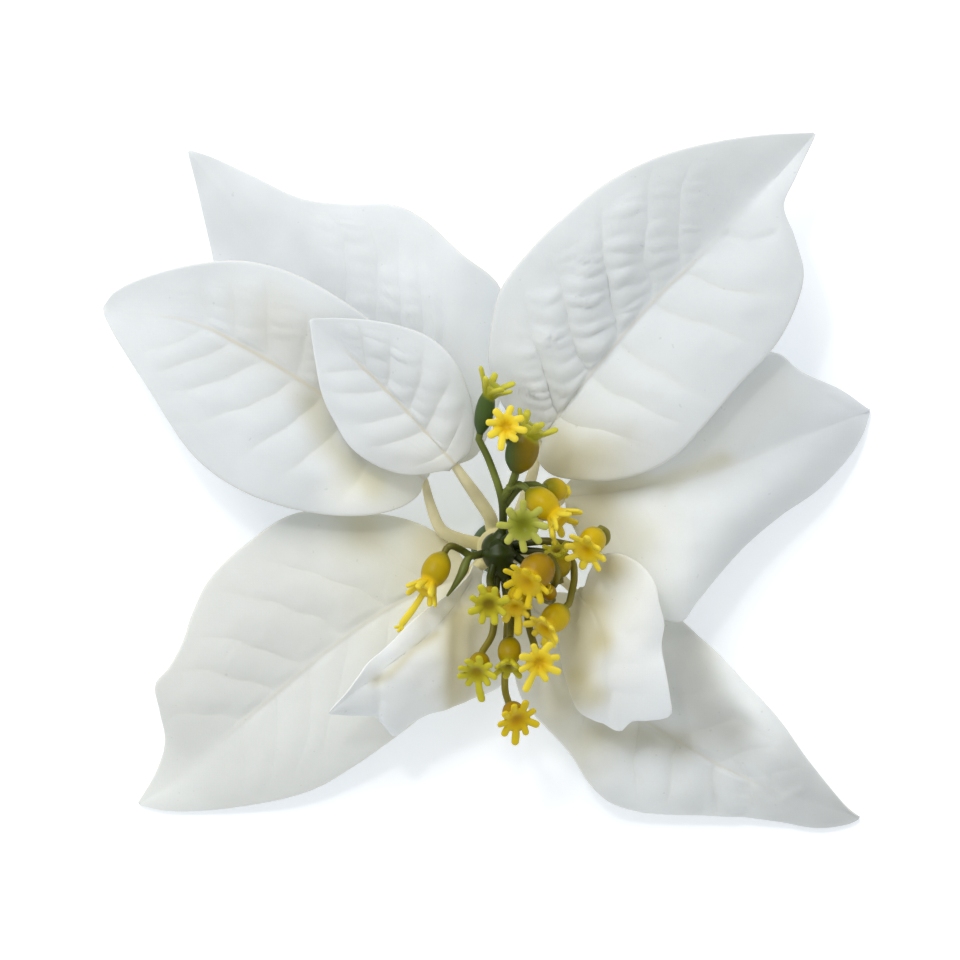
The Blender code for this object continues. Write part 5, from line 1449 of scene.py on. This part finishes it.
def fabric_paint():
    """White fabric: a faint weave, grain and blotches, a few dark specks, and some light in its depth."""
    nodes = Nodes("bract_fabric")
    weave = nodes.maths("MULTIPLY", nodes.weave("X"), nodes.weave("Y"))
    grain = nodes.noise(*FABRIC_GRAIN)
    speck = nodes.maths("GREATER_THAN", nodes.noise(*FABRIC_SPECKS), FABRIC_SPECK_LEVEL)
    shade = nodes.about(1, nodes.noise(*FABRIC_BLOTCH), FABRIC_BLOTCH_TONE)
    shade = nodes.maths("MULTIPLY", shade, nodes.about(1, grain, FABRIC_GRAIN_TONE))
    shade = nodes.maths("MULTIPLY", shade, nodes.about(1, weave, FABRIC_WEAVE_TONE))
    shade = nodes.maths("MULTIPLY", shade, nodes.ranged(speck, 1.0, FABRIC_SPECK_TONE))
    relief = nodes.maths("ADD", nodes.maths("MULTIPLY", weave, FABRIC_WEAVE_RISE), grain)
    nodes.feed(nodes.shader, {
        "Base Color": nodes.scaled(nodes.tint(), shade),
        "Roughness": nodes.ranged(grain, *FABRIC_ROUGHNESS),
        "Normal": nodes.bump(relief, *FABRIC_BUMP),
        **FABRIC_SHADER,
    })
    return nodes.material


def moulded_paint(name, roughness, gloss):
    """Coloured plastic with faint blotches and an uneven skin."""
    nodes = Nodes(name)
    blotch = nodes.noise(*MOULDED_BLOTCH)
    peel = nodes.noise(*MOULDED_PEEL)
    relief = nodes.maths("ADD", peel, nodes.maths("MULTIPLY", blotch, MOULDED_BLOTCH_RISE))
    nodes.feed(nodes.shader, {
        "Base Color": nodes.scaled(nodes.tint(), nodes.about(1, blotch, MOULDED_BLOTCH_TONE)),
        "Roughness": nodes.about(roughness, peel, MOULDED_PEEL_ROUGHNESS),
        "Normal": nodes.bump(relief, *MOULDED_BUMP),
        "Specular IOR Level": gloss,
    })
    return nodes.material


def make_floor():
    nodes = Nodes("floor")
    white = nodes.add("ShaderNodeRGB", 0, {})
    white.default_value = FLOOR_WHITE
    shade = nodes.about(1, nodes.noise(*FLOOR_CLOUD), FLOOR_CLOUD_TONE)
    nodes.feed(nodes.shader, {"Base Color": nodes.scaled(white, shade), **FLOOR_SHADER})
    mesh = bmesh.new()
    bmesh.ops.create_grid(mesh, x_segments=2, y_segments=2, size=FLOOR_HALF)
    data = bpy.data.meshes.new("floor")
    mesh.to_mesh(data)
    mesh.free()
    data.materials.append(nodes.material)
    floor = in_scene("floor", data)


def make_camera():
    """A long lens straight above the head, square to the floor."""
    data = bpy.data.cameras.new("camera")
    data.sensor_width = SENSOR_WIDTH
    data.lens = SENSOR_WIDTH * (CAMERA_HEIGHT - VIEW_LEVEL) / VIEW_WIDTH
    data.clip_end = CAMERA_REACH
    camera = in_scene("camera", data)
    camera.location = (*VIEW_CENTRE, CAMERA_HEIGHT)
    bpy.context.scene.camera = camera


def add_softbox(name, place, size, power, colour):
    data = bpy.data.lights.new(name, "AREA")
    data.shape = "SQUARE"
    data.size = size
    data.energy = power
    data.color = colour
    light = in_scene(name, data)
    light.location = place
    light.rotation_euler = (-Vector(place)).to_track_quat("-Z", "Y").to_euler()


def make_light():
    """A pale sky, a large soft key light from the upper left, and a small one for the glints."""
    world = bpy.data.worlds.new("studio")
    world.use_nodes = True
    sky = world.node_tree.nodes["Background"]
    sky.inputs["Color"].default_value = SKY_COLOUR
    sky.inputs["Strength"].default_value = SKY_STRENGTH
    bpy.context.scene.world = world
    for softbox in SOFTBOXES:
        add_softbox(*softbox)
    bpy.context.scene.view_settings.view_transform = "Standard"


def main():
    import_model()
    blades = [Blade(name) for name in BRACTS]
    flowers = [Flower(name) for name in FLOWERS]
    fabric = fabric_paint()
    stalk_plastic, stem_plastic, floret_plastic = (moulded_paint(*plastic) for plastic in PLASTICS)
    for blade in blades:
        make_bract(blade, fabric)
    for tier in range(len(RING_NAMES)):
        make_stalks(tier, blades, stalk_plastic)
    make_cap(stem_plastic)
    make_spray(flowers, stem_plastic)
    for flower in flowers:
        make_flower(flower, floret_plastic)
    make_floor()
    make_camera()
    make_light()


main()
